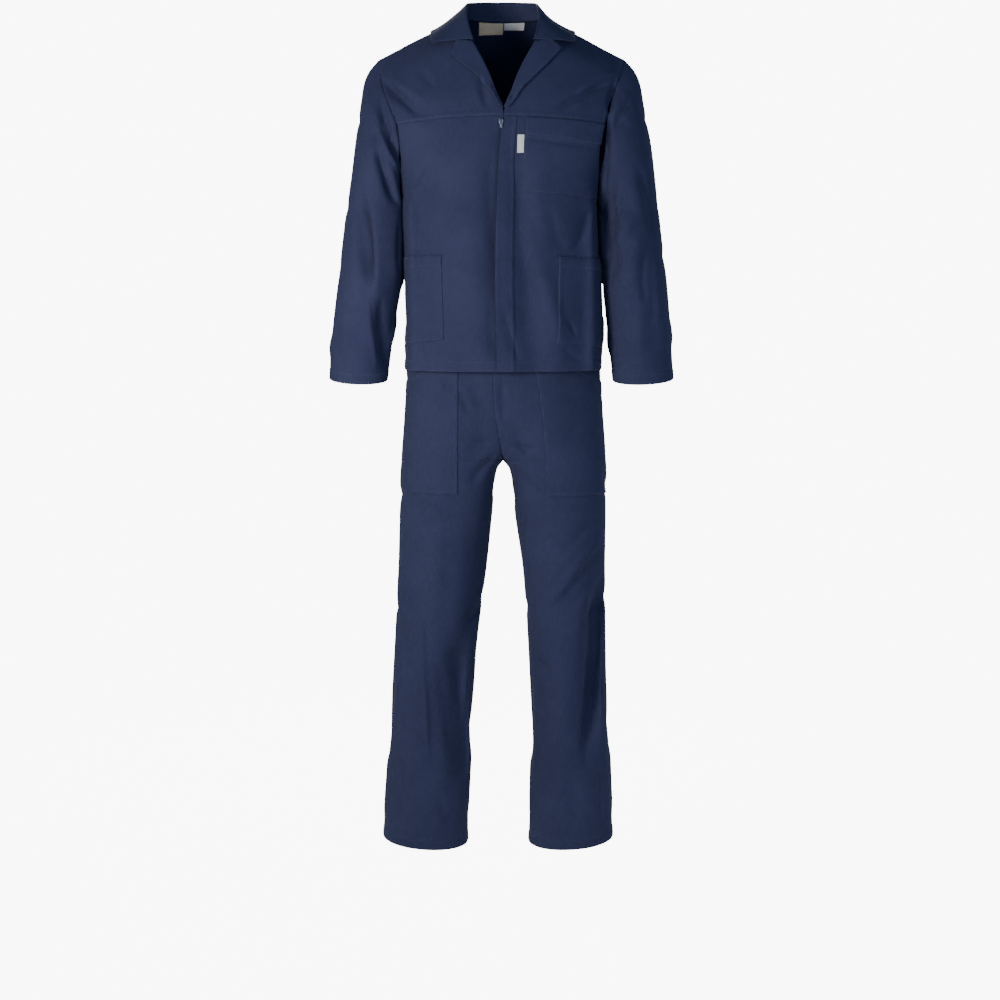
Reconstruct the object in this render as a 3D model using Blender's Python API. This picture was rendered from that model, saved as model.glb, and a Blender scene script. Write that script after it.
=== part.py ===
"""Two-piece work suit, hollow and as worn: a jacket with a notched collar, and trousers.

All tables are in millimetres. X is the wearer's left, -Y is the front and Z is up; the origin is
between the shoulders at the base of the neck. Every sewn piece is one wall of cloth with cut edges.
Jacket rows count up from the hem, columns from the front opening or the centre of the back.
"""
import math

import bpy
import numpy as np

for old in list(bpy.data.objects):
    bpy.data.objects.remove(old, do_unlink=True)

WALL = 1.5      # thickness of the cloth
TRIM = 0.15     # each piece stops this far short of its seam line
ROUND = 0.86    # power that makes the body rounder than flat and squarer than an ellipse

ARM_ROW = 12    # jacket row of the underarm point
YOKE_ROW = 17   # jacket row of the front yoke seam
ROLL_ROW = 22   # front row where the lapel ends and the collar begins
TOP_ROW = 24    # front row of the shoulder seam
BACK_TOP = 22   # back row of the shoulder seam and the neck
CROTCH_ROW = 14
WAIST_ROW = 23
POCKET_COLUMN = 4   # trouser column of the inner edge of the pocket

# Sideways lean of the jacket: z, offset
LEAN = ((-700, 2.0), (-676, 2.0), (-612, 5.0), (-522, 2.0), (-424, -3.0), (-340, -6.5),
        (-250, -2.0), (-204, -1.5), (-172, -4.0), (-130, -5.0), (-76, -0.5), (-45, -1.5), (60, -1.5))

# Jacket front: row, x of the opening, half its width, y, z there, turn of the row in degrees, and
# the power by which the row falls toward its outer end
OPENING = ((0, -10, 0.0, -131, -678, 90, 2), (3, -11, 0.0, -128, -594, 90, 2),
           (6, -13, 0.0, -125, -509, 90, 2), (9, -12, 0.0, -126, -424, 90, 2),
           (12, -9, 0.0, -128, -340, 90, 2), (14, -7, 0.0, -127, -283, 76, 2),
           (16, -1, 0.0, -121, -220, 63, 2), (17, 3, 0.4, -115, -189, 58, 2),
           (17.5, 3, 2.3, -112, -174, 57, 1.8), (18.5, 3, 14.5, -106, -145, 56, 1.6),
           (20, 3, 28, -93, -110, 54, 1.3), (21.2, 3, 44, -78, -77, 52, 1.15),
           (22, 3, 62, -60, -44, 50, 1.08), (23, 3, 74, -26, -14, 49, 1.05), (24, 2, 78, 10, 9, 48, 1.04))

# Outer edge of front and back: row, x, y, z
SIDE_SEAM = ((0, 193.7, 0, -678), (3, 193.5, 0, -594), (6, 193.4, 0, -509), (9, 193.2, 0, -424),
             (12, 193, 0, -340))
FRONT_ARMHOLE = ((12, 193, 0, -340), (13, 193.5, -28, -318), (14, 194, -50, -291),
                 (15, 195, -65, -262), (16, 197.5, -72, -232), (17, 201.5, -72, -204),
                 (18.5, 210, -66, -178), (20, 219, -54, -152), (21.3, 228, -38, -127),
                 (22.6, 236, -18, -99), (24, 241.5, 0, -74))
BACK_ARMHOLE = ((12, 193, 0, -340), (13, 190, 26, -318), (14, 187, 48, -290), (15, 186, 64, -260),
                (16, 188, 74, -228), (18, 203, 72, -166), (20, 226, 44, -110), (22, 241.5, 0, -74))

# Jacket back, centre line: row, y, z, turn of the row in degrees, power of its fall
SPINE = ((0, 119, -678, 90, 2), (3, 116, -594, 90, 2), (6, 111, -509, 90, 2), (9, 111, -424, 90, 2),
         (12, 118, -340, 90, 2), (14, 121, -284, 76, 2), (16, 120, -214, 64, 2), (18, 109, -132, 58, 1.6),
         (20, 93, -62, 54, 1.3), (22, 72, 6, 50, 1.1))

# Sleeves: station, x z on the outer line, x z on the inner line, half depth, y of the middle
SLEEVE = {
    1: ((0, 241.5, -74, 186.5, -340, 73, 1), (1, 260, -96, 188, -347, 79, 1),
        (2, 270, -119, 188, -355, 83, 0), (3.4, 279, -167, 188, -370, 85, -1),
        (5.5, 291.5, -237, 188, -396, 84, -4), (7.5, 300.5, -307, 189, -430, 81, -8),
        (9.5, 309, -377, 192, -470, 77, -11), (11.5, 317.5, -447, 197.5, -513, 72, -13),
        (13.5, 326, -518, 203, -560, 67, -15), (15.5, 331.5, -589, 209.5, -610, 61, -18),
        (17.5, 336.5, -660, 215.5, -664, 56, -20), (18.5, 339, -695, 219.5, -700, 53, -21)),
    -1: ((0, -241.5, -74, -199.5, -340, 73, 1), (1, -260, -96, -200, -347, 79, 1),
         (2, -270, -119, -198, -355, 83, 0), (3.4, -277.5, -167, -197, -370, 85, -1),
         (5.5, -288.5, -237, -196, -396, 84, -4), (7.5, -297, -307, -194, -430, 81, -8),
         (9.5, -307, -377, -194, -470, 77, -11), (11.5, -316, -447, -198.5, -513, 72, -13),
         (13.5, -324.5, -518, -206.5, -560, 67, -15), (15.5, -333, -589, -214, -610, 61, -18),
         (17.5, -339.5, -660, -221, -664, 56, -20), (18.5, -341, -695, -226, -699, 53, -21)),
}

# Trousers: row, z at the seams, y of the seams, half depth ahead, half depth behind, how far the
# row is a whole leg (1) or half a seat (0), and how square its inner part is (2 is an ellipse)
TROUSER = ((0, -1623, 0, 68, 70, 1, 2.1), (1, -1600, 0, 68, 70, 1, 2.1), (4, -1429, 0, 71, 73, 1, 2.1),
           (7, -1265, 1, 75, 77, 1, 2.1), (10, -1085, 3, 83, 90, 1, 2.3), (12, -960, 5, 92, 105, 1, 2.7),
           (13, -902, 6, 97, 112, 1, 3.2), (14, -857, 6, 100, 116, 1, 3.8),
           (15, -848, 6, 101, 117, 0.93, 3.6), (16, -830, 5, 103, 119, 0.8, 3.2),
           (17, -804, 4, 106, 121, 0.62, 2.8), (18, -772, 2, 108, 122, 0.42, 2.5),
           (19, -738, 1, 109, 121, 0.25, 2.3), (20, -705, 0, 108, 119, 0.11, 2.2),
           (21, -676, 0, 107, 116, 0.03, 2.2), (22, -640, 0, 104, 110, 0, 2.1), (23, -600, 0, 101, 104, 0, 2.1))

# Trousers, widths: row, x of the inner seam or the centre line, x of the inner edge of the pocket
# (carried on down the leg), x of the outer seam
LEG = {
    1: ((0, 55, 118, 226), (1, 56.5, 118, 224.5), (4, 60.5, 114, 216.5), (7, 54, 106, 209.5),
        (10, 43, 97, 207), (12, 26, 90, 208.3), (13, 21, 87, 207.5), (13.5, 15, 86, 206.7), (14, 2, 85.5, 205.5),
        (15, 1, 85, 205), (16, -2, 84, 203.7), (17, -6, 82, 201.7), (18, -12, 79, 199),
        (19, -16, 75, 196.8), (20, -17, 70, 194.6), (21, -17, 65, 193.7), (22, -17, 62, 189),
        (23, -17, 60, 181)),
    -1: ((0, -69.5, -133, -241), (1, -69.5, -132, -239.5), (4, -64.5, -124, -227), (7, -54, -114, -217.5),
         (10, -33, -99, -208.5), (12, -20, -89, -204.5), (13, -15.5, -86, -202), (13.5, -10, -86, -200.5), (14, 2, -86, -199),
         (15, 1, -86, -198.6), (16, -2, -86, -197.5), (17, -6, -85.5, -195.5), (18, -12, -85, -193),
         (19, -16, -85, -190.5), (20, -17, -85, -188.2), (21, -17, -85, -189.5), (22, -17, -85, -185),
         (23, -17, -84, -177)),
}

# Large folds, seen from the front: x z at one end, x z at the other, width, height
BODY_AHEAD = ((-30, -300, -34, -520, 24, -7), (-75, -250, -95, -430, 30, 4),
              (-232, -128, -150, -178, 15, -4), (-215, -190, -120, -215, 16, 4),
              (222, -128, 150, -170, 15, -4), (190, -255, 150, -400, 26, 4),
              (-180, -330, -120, -440, 22, -4), (180, -360, 120, -470, 24, -5),
              (30, -520, 34, -640, 22, -4), (-60, -600, -20, -670, 26, 4),
              (110, -640, 60, -560, 24, 3))
BODY_BEHIND = ((-205, -150, -110, -215, 22, -5), (205, -150, 110, -215, 22, -5),
               (-170, -320, -60, -430, 28, -6), (170, -320, 70, -450, 28, -6),
               (-110, -520, 90, -500, 24, 4), (-60, -620, -70, -560, 30, -5), (80, -640, 70, -560, 28, -4))
SLEEVE_AHEAD = ((-250, -205, -212, -262, 15, -6), (-262, -235, -222, -330, 17, 4),
                (-284, -330, -262, -520, 16, -5), (-262, -380, -238, -560, 15, 4),
                (-300, -560, -270, -640, 16, -4), (248, -185, 205, -250, 15, -6),
                (225, -330, 262, -400, 16, -5), (268, -420, 245, -470, 15, 4),
                (292, -430, 300, -640, 16, -5), (262, -560, 268, -650, 15, 4))
SLEEVE_BEHIND = ((-235, -250, -285, -330, 20, -5), (-255, -420, -300, -470, 18, -5),
                 (235, -250, 285, -330, 20, -5), (255, -430, 305, -480, 18, -5))
LEG_AHEAD = ((-62, -706, -32, -752, 16, -5), (-52, -985, -86, -1330, 18, -6),
             (-130, -1010, -150, -1250, 28, 4), (-185, -1010, -176, -1180, 20, -4),
             (-122, -1290, -140, -1500, 18, -5), (-176, -1290, -188, -1500, 20, 4),
             (-150, -1540, -110, -1600, 22, 4), (203, -1020, 118, -1140, 18, -6),
             (150, -1020, 92, -1090, 20, 4), (186, -1130, 148, -1400, 17, -6),
             (120, -1210, 112, -1460, 22, 4), (136, -1470, 150, -1590, 18, -4),
             (22, -790, 60, -840, 16, -4), (-30, -800, -62, -850, 16, -4))
LEG_BEHIND = ((-150, -900, -60, -950, 22, -6), (150, -900, 60, -950, 22, -6),
              (-170, -1150, -100, -1210, 22, -5), (170, -1160, 100, -1220, 22, -5),
              (-110, -1300, -130, -1520, 22, -5), (110, -1300, 130, -1520, 22, -5))

# Lapels: row of the front where the roll line is, x z on the outer edge as seen from the front
LAPEL = {
    -1: ((17.5, -7, -172), (18, -12, -159), (18.5, -18.5, -149), (19, -25, -141), (19.5, -32, -132),
         (20, -44, -118), (20.5, -60, -102), (21, -81, -87), (21.5, -96, -71), (21.97, -86, -45)),
    1: ((17.5, 9, -176), (18, 17, -168), (18.5, 26, -157), (19, 33, -145), (19.5, 43, -133),
        (20, 58.5, -118), (20.5, 74.5, -102), (21, 92, -84), (21.5, 113, -61), (21.97, 94, -43)),
}

# Collar, from the notch to the centre of the back: x y z on the fold, x y z on the outer edge,
# and how far the fall bulges between them
COLLAR = {
    1: ((62, -61, -39, 142, -46, -43, 1), (73.5, -28, 6, 144, -22, -32, -2),
        (70.5, 8, 31, 142, 8, -20, -7), (66.5, 30, 37, 134, 40, -36, -3), (59, 46, 40, 114, 64, -44, 4),
        (44, 58, 42, 82, 80, -40, 6), (23, 66, 43.5, 44, 90, -36, 6), (2, 69, 44, 2, 93, -34, 6)),
    -1: ((-57, -61, -39, -136, -46, -45, 1), (-69.5, -28, 6, -140, -22, -32, 0),
         (-68.5, 8, 33, -139, 8, -20, -1.5), (-64, 30, 37.5, -131, 40, -36, 1), (-55, 46, 40, -110, 64, -44, 5),
         (-40, 58, 42, -78, 80, -40, 6), (-19, 66, 43.5, -40, 90, -36, 6), (2, 69, 44, 2, 93, -34, 6)),
}

# Sewn-on pieces, seen from the front: x z at the lower inner, lower outer, upper inner and upper
# outer corners, the space under the piece and its thickness
PATCHES = {
    'chest_pocket': ('jacket_front_left', ((43, -333), (184, -346), (46, -212), (190, -222)), 0.5, 1.5),
    'chest_flap': ('jacket_front_left', ((45, -225), (191, -242), (47, -193), (201, -204)), 2.5, 1.5),
    'hip_pocket_left': ('jacket_front_left', ((105, -624), (193, -632), (110, -456), (193, -463)), 0.5, 1.5),
    'hip_pocket_right': ('jacket_front_right', ((-113, -617), (-186, -627), (-117, -453), (-190, -459)), 0.5, 1.5),
    'pocket_tab': ('jacket_front_left', ((29, -260), (41.5, -260), (30, -226), (42.5, -226)), 0.5, 1.0),
}

NAVY, STONE, WHITE = (0.026, 0.034, 0.075, 1), (0.2, 0.18, 0.14, 1), (0.75, 0.75, 0.73, 1)
METAL = (0.5, 0.5, 0.5, 1)


def curve(table, at):
    """Every column of a table at the given places, smooth and never beyond the rows beside it."""
    data = np.array(table, float)
    knots, values = data[:, 0], data[:, 1:]
    slope = np.diff(values, axis=0) / np.diff(knots)[:, None]
    product, total = slope[:-1] * slope[1:], slope[:-1] + slope[1:]
    inner = np.where(product > 0, 2 * product / np.where(product > 0, total, 1), 0)
    tangent = np.vstack([slope[:1], inner, slope[-1:]])
    at = np.clip(np.asarray(at, float), knots[0], knots[-1])
    k = np.clip(np.searchsorted(knots, at, side='right') - 1, 0, len(knots) - 2)
    step = (knots[k + 1] - knots[k])[..., None]
    t = (at[..., None] - knots[k][..., None]) / step
    return ((1 + 2 * t) * (1 - t) ** 2 * values[k] + t * (1 - t) ** 2 * step * tangent[k]
            + t * t * (3 - 2 * t) * values[k + 1] + t * t * (t - 1) * step * tangent[k + 1])


def smooth(t):
    """A soft step from 0 to 1."""
    t = np.clip(t, 0, 1)
    return t * t * (3 - 2 * t)


def unit(vectors):
    """Vectors of length one."""
    return vectors / np.maximum(np.linalg.norm(vectors, axis=-1, keepdims=True), 1e-9)


def creased(points, ahead, behind, middle=0.0, reach=45.0):
    """Points moved forward by the folds ahead of the middle and backward by those behind it."""
    moved = points.copy()
    x, z = points[..., 0], points[..., 2]
    for folds, sign in ((ahead, -1), (behind, 1)):
        facing = smooth(sign * (points[..., 1] - middle) / reach)
        for x0, z0, x1, z1, width, height in folds:
            dx, dz = x1 - x0, z1 - z0
            along = np.clip(((x - x0) * dx + (z - z0) * dz) / (dx * dx + dz * dz), 0, 1)
            away = np.hypot(x - x0 - along * dx, z - z0 - along * dz)
            moved[..., 1] += sign * facing * height * np.exp(-(away / width) ** 2)
    return moved


def arc(turn, columns):
    """How far a row has gone sideways and backward, 0 to 1, where it turns through an angle."""
    turn = np.radians(turn)
    sideways = (np.sin(turn * columns) / np.sin(turn)) ** ROUND
    backward = (1 - np.cos(turn * columns) ** ROUND) / (1 - np.maximum(np.cos(turn), 0) ** ROUND)
    return sideways, backward


def outer_edge(rows, armhole):
    """Side seam up to the underarm, armhole above it."""
    rows = np.asarray(rows, float)
    low, high = curve(SIDE_SEAM, rows), curve(armhole, rows)
    return np.where(rows[..., None] <= ARM_ROW, low, high)


def jacket_front(side, rows, columns, lap=0.0, sink=0.0):
    """One half of the jacket front. Its edge may reach under the other half by lap, sunk by sink."""
    rows, columns = np.asarray(rows, float)[:, None], np.asarray(columns, float)[None, :]
    middle, half, y0, z0, turn, power = np.moveaxis(curve(OPENING, rows), -1, 0)
    x1, y1, z1 = np.moveaxis(outer_edge(rows, FRONT_ARMHOLE), -1, 0)
    sideways, backward = arc(turn, np.clip(columns, 0, 1))
    z = z0 + (z1 - z0) * sideways ** power
    under = lap * smooth((YOKE_ROW - 1 - rows) / 1.5)
    start = middle + side * (half + 0.4 - under)
    x = start + (side * x1 + curve(LEAN, z)[..., 0] - start) * sideways
    y = y0 + (y1 - y0) * backward
    near = smooth(1 - (np.abs(x - start) - under) / 26)
    y = y + sink * near * smooth(YOKE_ROW - rows)
    return creased(np.stack([x, y, z], -1), BODY_AHEAD, BODY_BEHIND)


def jacket_back(rows, columns, neck):
    """The whole jacket back, columns -1 to 1; its top row is the shoulder seams and the neck."""
    rows, columns = np.asarray(rows, float)[:, None], np.asarray(columns, float)[None, :]
    y0, z0, turn, power = np.moveaxis(curve(SPINE, rows), -1, 0)
    x1, y1, z1 = np.moveaxis(outer_edge(rows, BACK_ARMHOLE), -1, 0)
    sideways, backward = arc(turn, np.abs(columns))
    z = z0 + (z1 - z0) * sideways ** power
    x = curve(LEAN, z)[..., 0] + np.sign(columns) * x1 * sideways
    y = y0 + (y1 - y0) * backward
    grid = creased(np.stack([x, y, z], -1), BODY_AHEAD, BODY_BEHIND)
    if neck is not None:
        rise = np.clip((rows - BACK_TOP + 4) / 4, 0, 1)[..., None] ** 3
        grid = grid + rise * (neck - grid[-1:])
    return grid


def sleeve_rings(side, stations, ring):
    """A sleeve: its first ring is the armhole, the others are ovals between two lines."""
    count = ring.shape[0]
    ahead = TOP_ROW - ARM_ROW
    angle = np.concatenate([np.linspace(math.pi, 0, ahead + 1)[:-1],
                            np.linspace(0, -math.pi, count - ahead + 1)[:-1]])
    x0, z0, x1, z1, deep, middle = np.moveaxis(curve(SLEEVE[side], stations)[:, None, :], -1, 0)
    mix = (1 + np.cos(angle)) / 2
    droop = 8 * np.sin(angle) * smooth((np.asarray(stations)[:, None] - 14) / 4.5)
    oval = np.stack([x1 + (x0 - x1) * mix, middle - deep * np.sin(angle), z1 + (z0 - z1) * mix - droop], -1)
    fade = np.asarray(stations, float)[:, None, None]
    own = creased(oval, SLEEVE_AHEAD, SLEEVE_BEHIND, middle=-8, reach=35)
    oval = oval + (own - oval) * smooth((fade - 0.5) / 2)
    return oval + (ring - oval[:1]) * (1 - smooth(fade / 6.5)) ** 1.6


def trouser_half(side, rows, behind):
    """Front or back of one leg and its half of the seat, from the inner seam to the outer seam."""
    rows = np.asarray(rows, float)[:, None]
    z, middle, ahead, rear, whole, square = np.moveaxis(curve(TROUSER, rows), -1, 0)
    inner, pocket, outer = np.moveaxis(curve(LEG[side], rows), -1, 0)
    centre = inner + (outer - inner) / 2 * whole
    radius = np.abs(outer - centre)
    start = np.arccos(np.clip(np.abs(centre - inner) / radius, 0, 1))
    edge = np.arccos(np.clip(side * (centre - pocket) / radius, -1, 1))
    first, second = np.linspace(0, 1, POCKET_COLUMN + 1), np.linspace(0, 1, 11 - POCKET_COLUMN)[1:]
    angle = np.concatenate([start + (edge - start) * first, edge + (math.pi - edge) * second], 1)
    x = centre - side * radius * np.cos(angle)
    power = np.where(angle < math.pi / 2, square, 2.1)
    round_off = (1 - np.abs(np.cos(angle)) ** power) ** (1 / power)
    deep = round_off * (rear if behind else -ahead)
    droop = smooth(1 - rows / 2.5) * (-6 - 6 * np.cos(angle) - 9 * np.sin(angle))
    points = np.stack([x, middle + deep, z + droop], -1)
    return creased(points, LEG_AHEAD, LEG_BEHIND)


class Panel:
    """A grid of points on the outside of one piece of cloth."""

    def __init__(self, grid, sign, closed=False):
        self.grid, self.sign, self.closed = grid, sign, closed
        self.own = self.normals(grid)
        self.normal = self.own

    def normals(self, grid):
        """Outward normals of the grid."""
        if self.closed:
            along = np.roll(grid, -1, 1) - np.roll(grid, 1, 1)
        else:
            along = np.gradient(grid, axis=1)
        return unit(self.sign * np.cross(along, np.gradient(grid, axis=0)))

    def edge(self):
        """Indices of the points on a seam or a free edge, each with the way into the piece."""
        rows, columns = self.grid.shape[:2]
        mask = np.zeros((rows, columns), bool)
        mask[[0, -1], :] = True
        if not self.closed:
            mask[:, [0, -1]] = True
        for r, c in np.argwhere(mask):
            inner = (min(max(r, 1), rows - 2), c if self.closed else min(max(c, 1), columns - 2))
            yield r, c, unit(self.grid[inner] - self.grid[r, c])

    def inside(self):
        """The inner side of the wall, squared up where a seam turns."""
        lean = np.sum(self.normal * self.own, -1, keepdims=True)
        return self.grid - self.normal * WALL / np.clip(lean, 0.75, 1)

    def at(self, rows, columns):
        """Points and normals at fractional rows and columns of the grid."""
        found = []
        for data in (self.grid, self.normal):
            r = np.clip(np.floor(rows).astype(int), 0, data.shape[0] - 2)
            c = np.clip(np.floor(columns).astype(int), 0, data.shape[1] - 2)
            fr, fc = (rows - r)[..., None], (columns - c)[..., None]
            found.append(data[r, c] * (1 - fr) * (1 - fc) + data[r + 1, c] * fr * (1 - fc)
                         + data[r, c + 1] * (1 - fr) * fc + data[r + 1, c + 1] * fr * fc)
        return found[0], unit(found[1])

    def find(self, x, z):
        """Row and column of the point that shows at x, z from the front."""
        rows = np.arange(0, self.grid.shape[0] - 0.99, 0.05)
        columns = np.arange(0, self.grid.shape[1] - 0.99, 0.05)
        points, _ = self.at(*np.meshgrid(rows, columns, indexing='ij'))
        near = np.argmin((points[..., 0] - x) ** 2 + (points[..., 2] - z) ** 2)
        r, c = np.unravel_index(near, points.shape[:2])
        return rows[r], columns[c]


def join_normals(panels):
    """Makes the panels that meet at a seam share one direction there, except in a sharp valley."""
    meeting = {}
    for panel in panels:
        for r, c, inward in panel.edge():
            place = tuple(np.round(panel.grid[r, c], 2))
            meeting.setdefault(place, []).append((panel.own[r, c], inward))
    for panel in panels:
        panel.normal = panel.own.copy()
        for r, c, _ in panel.edge():
            own = panel.own[r, c]
            shared = own * 0.001
            for other, inward in meeting[tuple(np.round(panel.grid[r, c], 2))]:
                shared = shared + other * (1 - smooth((own @ inward - 0.1) / 0.4))
            panel.normal[r, c] = unit(shared)


def wall_faces(rows, columns, closed, sign):
    """Triangles of a wall between two grids of points, the outer grid first."""
    index = np.arange(rows * columns).reshape(rows, columns)
    wide = np.concatenate([index, index[:, :1]], 1) if closed else index
    a, b, c, d = wide[:-1, :-1].ravel(), wide[:-1, 1:].ravel(), wide[1:, 1:].ravel(), wide[1:, :-1].ravel()
    front = np.concatenate([np.stack([a, b, c], 1), np.stack([a, c, d], 1)])
    if closed:
        borders = [wide[0], wide[-1][::-1]]
    else:
        borders = [np.concatenate([wide[0], wide[1:, -1], wide[-1, -2::-1], wide[-2::-1, 0]])]
    sides = []
    for line in borders:
        p, q = line[:-1], line[1:]
        low = rows * columns
        sides += [np.stack([q, p, p + low], 1), np.stack([q, p + low, q + low], 1)]
    triangles = np.concatenate([front, front[:, ::-1] + rows * columns] + sides)
    return triangles if sign > 0 else triangles[:, ::-1]


def trimmed(grid, closed):
    """A grid that stops short of its seam lines."""
    grid = grid.copy()
    grid[0] += TRIM * unit(grid[1] - grid[0])
    grid[-1] += TRIM * unit(grid[-2] - grid[-1])
    if not closed:
        grid[:, 0] += TRIM * unit(grid[:, 1] - grid[:, 0])
        grid[:, -1] += TRIM * unit(grid[:, -2] - grid[:, -1])
    return grid


def make(name, points, faces, colour, rough=0.9, metal=0.0):
    """One solid with its own material, from points in millimetres."""
    mesh = bpy.data.meshes.new(name)
    mesh.from_pydata((points.reshape(-1, 3) / 1000).tolist(), [], faces.tolist())
    mesh.update()
    item = bpy.data.objects.new(name, mesh)
    bpy.context.collection.objects.link(item)
    material = bpy.data.materials.new(name)
    material.use_nodes = True
    shader = material.node_tree.nodes['Principled BSDF']
    shader.inputs['Base Color'].default_value = colour
    shader.inputs['Roughness'].default_value = rough
    shader.inputs['Metallic'].default_value = metal
    mesh.materials.append(material)
    return item


def make_wall(name, face, under, sign, colour, closed=False):
    """One wall of cloth between its two sides."""
    points = np.stack([trimmed(face, closed), trimmed(under, closed)])
    return make(name, points, wall_faces(face.shape[0], face.shape[1], closed, sign), colour)


def lines(first, last):
    """The ends of a stretch and every whole grid line between them."""
    whole = np.arange(math.ceil(first + 0.12), math.floor(last - 0.12) + 1)
    return np.concatenate([[first], whole, [last]])


def patch(name, panel, corners, lift, thick, colour):
    """A piece sewn on a panel: it follows the panel's own grid lines and stands off it by lift."""
    found = [panel.find(x, z) for x, z in corners]
    (r00, c00), (r01, c01), (r10, c10), (r11, c11) = found
    rows = lines(min(r00, r01), max(r10, r11))
    columns = lines(min(c00, c10), max(c01, c11))
    down = (rows - rows[0]) / (rows[-1] - rows[0])
    over = (columns - columns[0]) / (columns[-1] - columns[0])
    row_grid = np.repeat(rows[:, None], len(columns), 1)
    row_grid[0], row_grid[-1] = r00 + (r01 - r00) * over, r10 + (r11 - r10) * over
    column_grid = np.repeat(columns[None, :], len(rows), 0)
    column_grid[:, 0], column_grid[:, -1] = c00 + (c10 - c00) * down, c01 + (c11 - c01) * down
    points, normal = panel.at(row_grid, column_grid)
    make_wall(name, points + normal * (lift + thick), points + normal * lift, panel.sign, colour)


def outward(line, way):
    """Directions square to a line of points, on the side that a way points to."""
    tangent = unit(np.gradient(line, axis=0))
    return unit(way - tangent * np.sum(way * tangent, -1, keepdims=True))


def halved(line):
    """A line of points with one more point in the middle of each step."""
    full = np.empty((2 * len(line) - 1, 3))
    full[::2], full[1::2] = line, (line[:-1] + line[1:]) / 2
    return full


def samples(panels):
    """Many points and normals spread over panels."""
    points, normals = [], []
    for panel in panels:
        rows = np.arange(0, panel.grid.shape[0] - 0.9, 0.2)
        columns = np.arange(0, panel.grid.shape[1] - 0.9, 0.2)
        p, n = panel.at(*np.meshgrid(rows, columns, indexing='ij'))
        points.append(p.reshape(-1, 3))
        normals.append(n.reshape(-1, 3))
    return np.concatenate(points), np.concatenate(normals)


def nearest(points, cloth):
    """The nearest point of the cloth to each point, and its normal."""
    flat = points.reshape(-1, 3)
    near = [np.argmin(np.sum((cloth[0] - p) ** 2, 1)) for p in flat]
    return cloth[0][near].reshape(points.shape), cloth[1][near].reshape(points.shape)


def raised(points, cloth, gap):
    """Points pushed out where they are nearer to the cloth than the gap."""
    base, normal = nearest(points, cloth)
    height = np.sum((points - base) * normal, -1, keepdims=True)
    return points + normal * np.maximum(gap - height, 0)


def beside(points, side, cloth, gap):
    """Points moved sideways until they clear the body where the body is beside them."""
    outward = cloth[0][:, 0] * side > 120
    body = cloth[0][outward]
    flat = points.reshape(-1, 3).copy()
    for p, space in zip(flat, np.broadcast_to(gap, points.shape[:-1]).ravel()):
        away = (body[:, 1] - p[1]) ** 2 + (body[:, 2] - p[2]) ** 2
        near = np.argmin(away)
        if away[near] < 16:
            p[0] = side * max(side * p[0], side * body[near, 0] + space)
    return flat.reshape(points.shape)


def laid(x, z, cloth, height):
    """Points at x, z as seen from the front, standing off the cloth by a height."""
    near = [np.argmin((cloth[0][:, 0] - a) ** 2 + (cloth[0][:, 2] - b) ** 2)
            for a, b in zip(x.ravel(), z.ravel())]
    base, normal = cloth[0][near].reshape(x.shape + (3,)), cloth[1][near].reshape(x.shape + (3,))
    start = np.stack([x, base[..., 1], z], -1)
    offset = np.sum((start - base) * normal, -1, keepdims=True)
    depth = np.minimum(normal[..., 1:2], -0.2)
    start = start - offset / depth * np.array([0.0, 1.0, 0.0])
    return start + normal * height


# Jacket body
low_rows = np.arange(0, YOKE_ROW + 1)
high_rows = np.arange(YOKE_ROW, TOP_ROW + 1)
columns = np.array([0, 0.03, 0.079, 0.17, 0.27, 0.37, 0.48, 0.59, 0.7, 0.8, 0.9, 1.0])
placket_column = 2
neck_columns = 5
half_columns = neck_columns + len(columns) - 1

left_low = jacket_front(1, low_rows, columns)
right_low = jacket_front(-1, low_rows, columns, lap=12, sink=2.6)
left_yoke = jacket_front(1, high_rows, columns)
right_yoke = jacket_front(-1, high_rows, columns)
right_yoke[0] = right_low[-1]

turn = np.linspace(0, 1, neck_columns + 1)[:-1]
neck_half = {}
for side, yoke in ((1, left_yoke), (-1, right_yoke)):
    end = yoke[-1, 0]
    x = 2 + (end[0] - 2) * np.sin(turn * math.pi / 2)
    y = end[1] + (72 - end[1]) * np.cos(turn * math.pi / 2)
    z = 6 + (end[2] - 6) * turn ** 2
    neck_half[side] = np.concatenate([np.stack([x, y, z], -1), yoke[-1]])
neck_row = np.concatenate([neck_half[-1][::-1], neck_half[1][1:]])
back_columns = np.linspace(-1, 1, 2 * half_columns + 1)
back_rows = np.arange(0, BACK_TOP + 1)
back_grid = jacket_back(back_rows, back_columns, neck_row)
back_grid[:ARM_ROW + 1, -1] = left_low[:ARM_ROW + 1, -1]
back_grid[:ARM_ROW + 1, 0] = right_low[:ARM_ROW + 1, -1]

panels = {
    'placket': Panel(left_low[:, :placket_column + 1], 1),
    'jacket_front_left': Panel(left_low[:, placket_column:], 1),
    'jacket_front_right': Panel(right_low, -1),
    'jacket_yoke_left': Panel(left_yoke, 1),
    'jacket_yoke_right': Panel(right_yoke, -1),
    'jacket_back': Panel(back_grid, -1),
}

# Sleeves
stations = np.array([0, 0.5, 1, 1.6, 2.3, 3.2, 4.3, 5.5, 6.5, 7.5, 8.5, 9.5, 10.5, 11.5, 12.5, 13.5, 14.5,
                     15.5, 16.5, 17.5, 18.5])
for side, name, low, yoke, edge in ((1, 'sleeve_left', left_low, left_yoke, -1),
                                    (-1, 'sleeve_right', right_low, right_yoke, 0)):
    ahead = np.concatenate([low[ARM_ROW:, -1], yoke[1:, -1]])
    ring = np.concatenate([ahead, back_grid[ARM_ROW + 1:-1, edge][::-1]])
    body = samples([Panel(low, side), Panel(back_grid, -1)])
    grid = sleeve_rings(side, stations, ring)
    space = np.interp(stations[1:], [0, 1, 3], [0, 1.6, 3.5])[:, None]
    grid[1:] = beside(grid[1:], side, body, space)
    panels[name] = Panel(grid, -side, closed=True)

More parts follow.
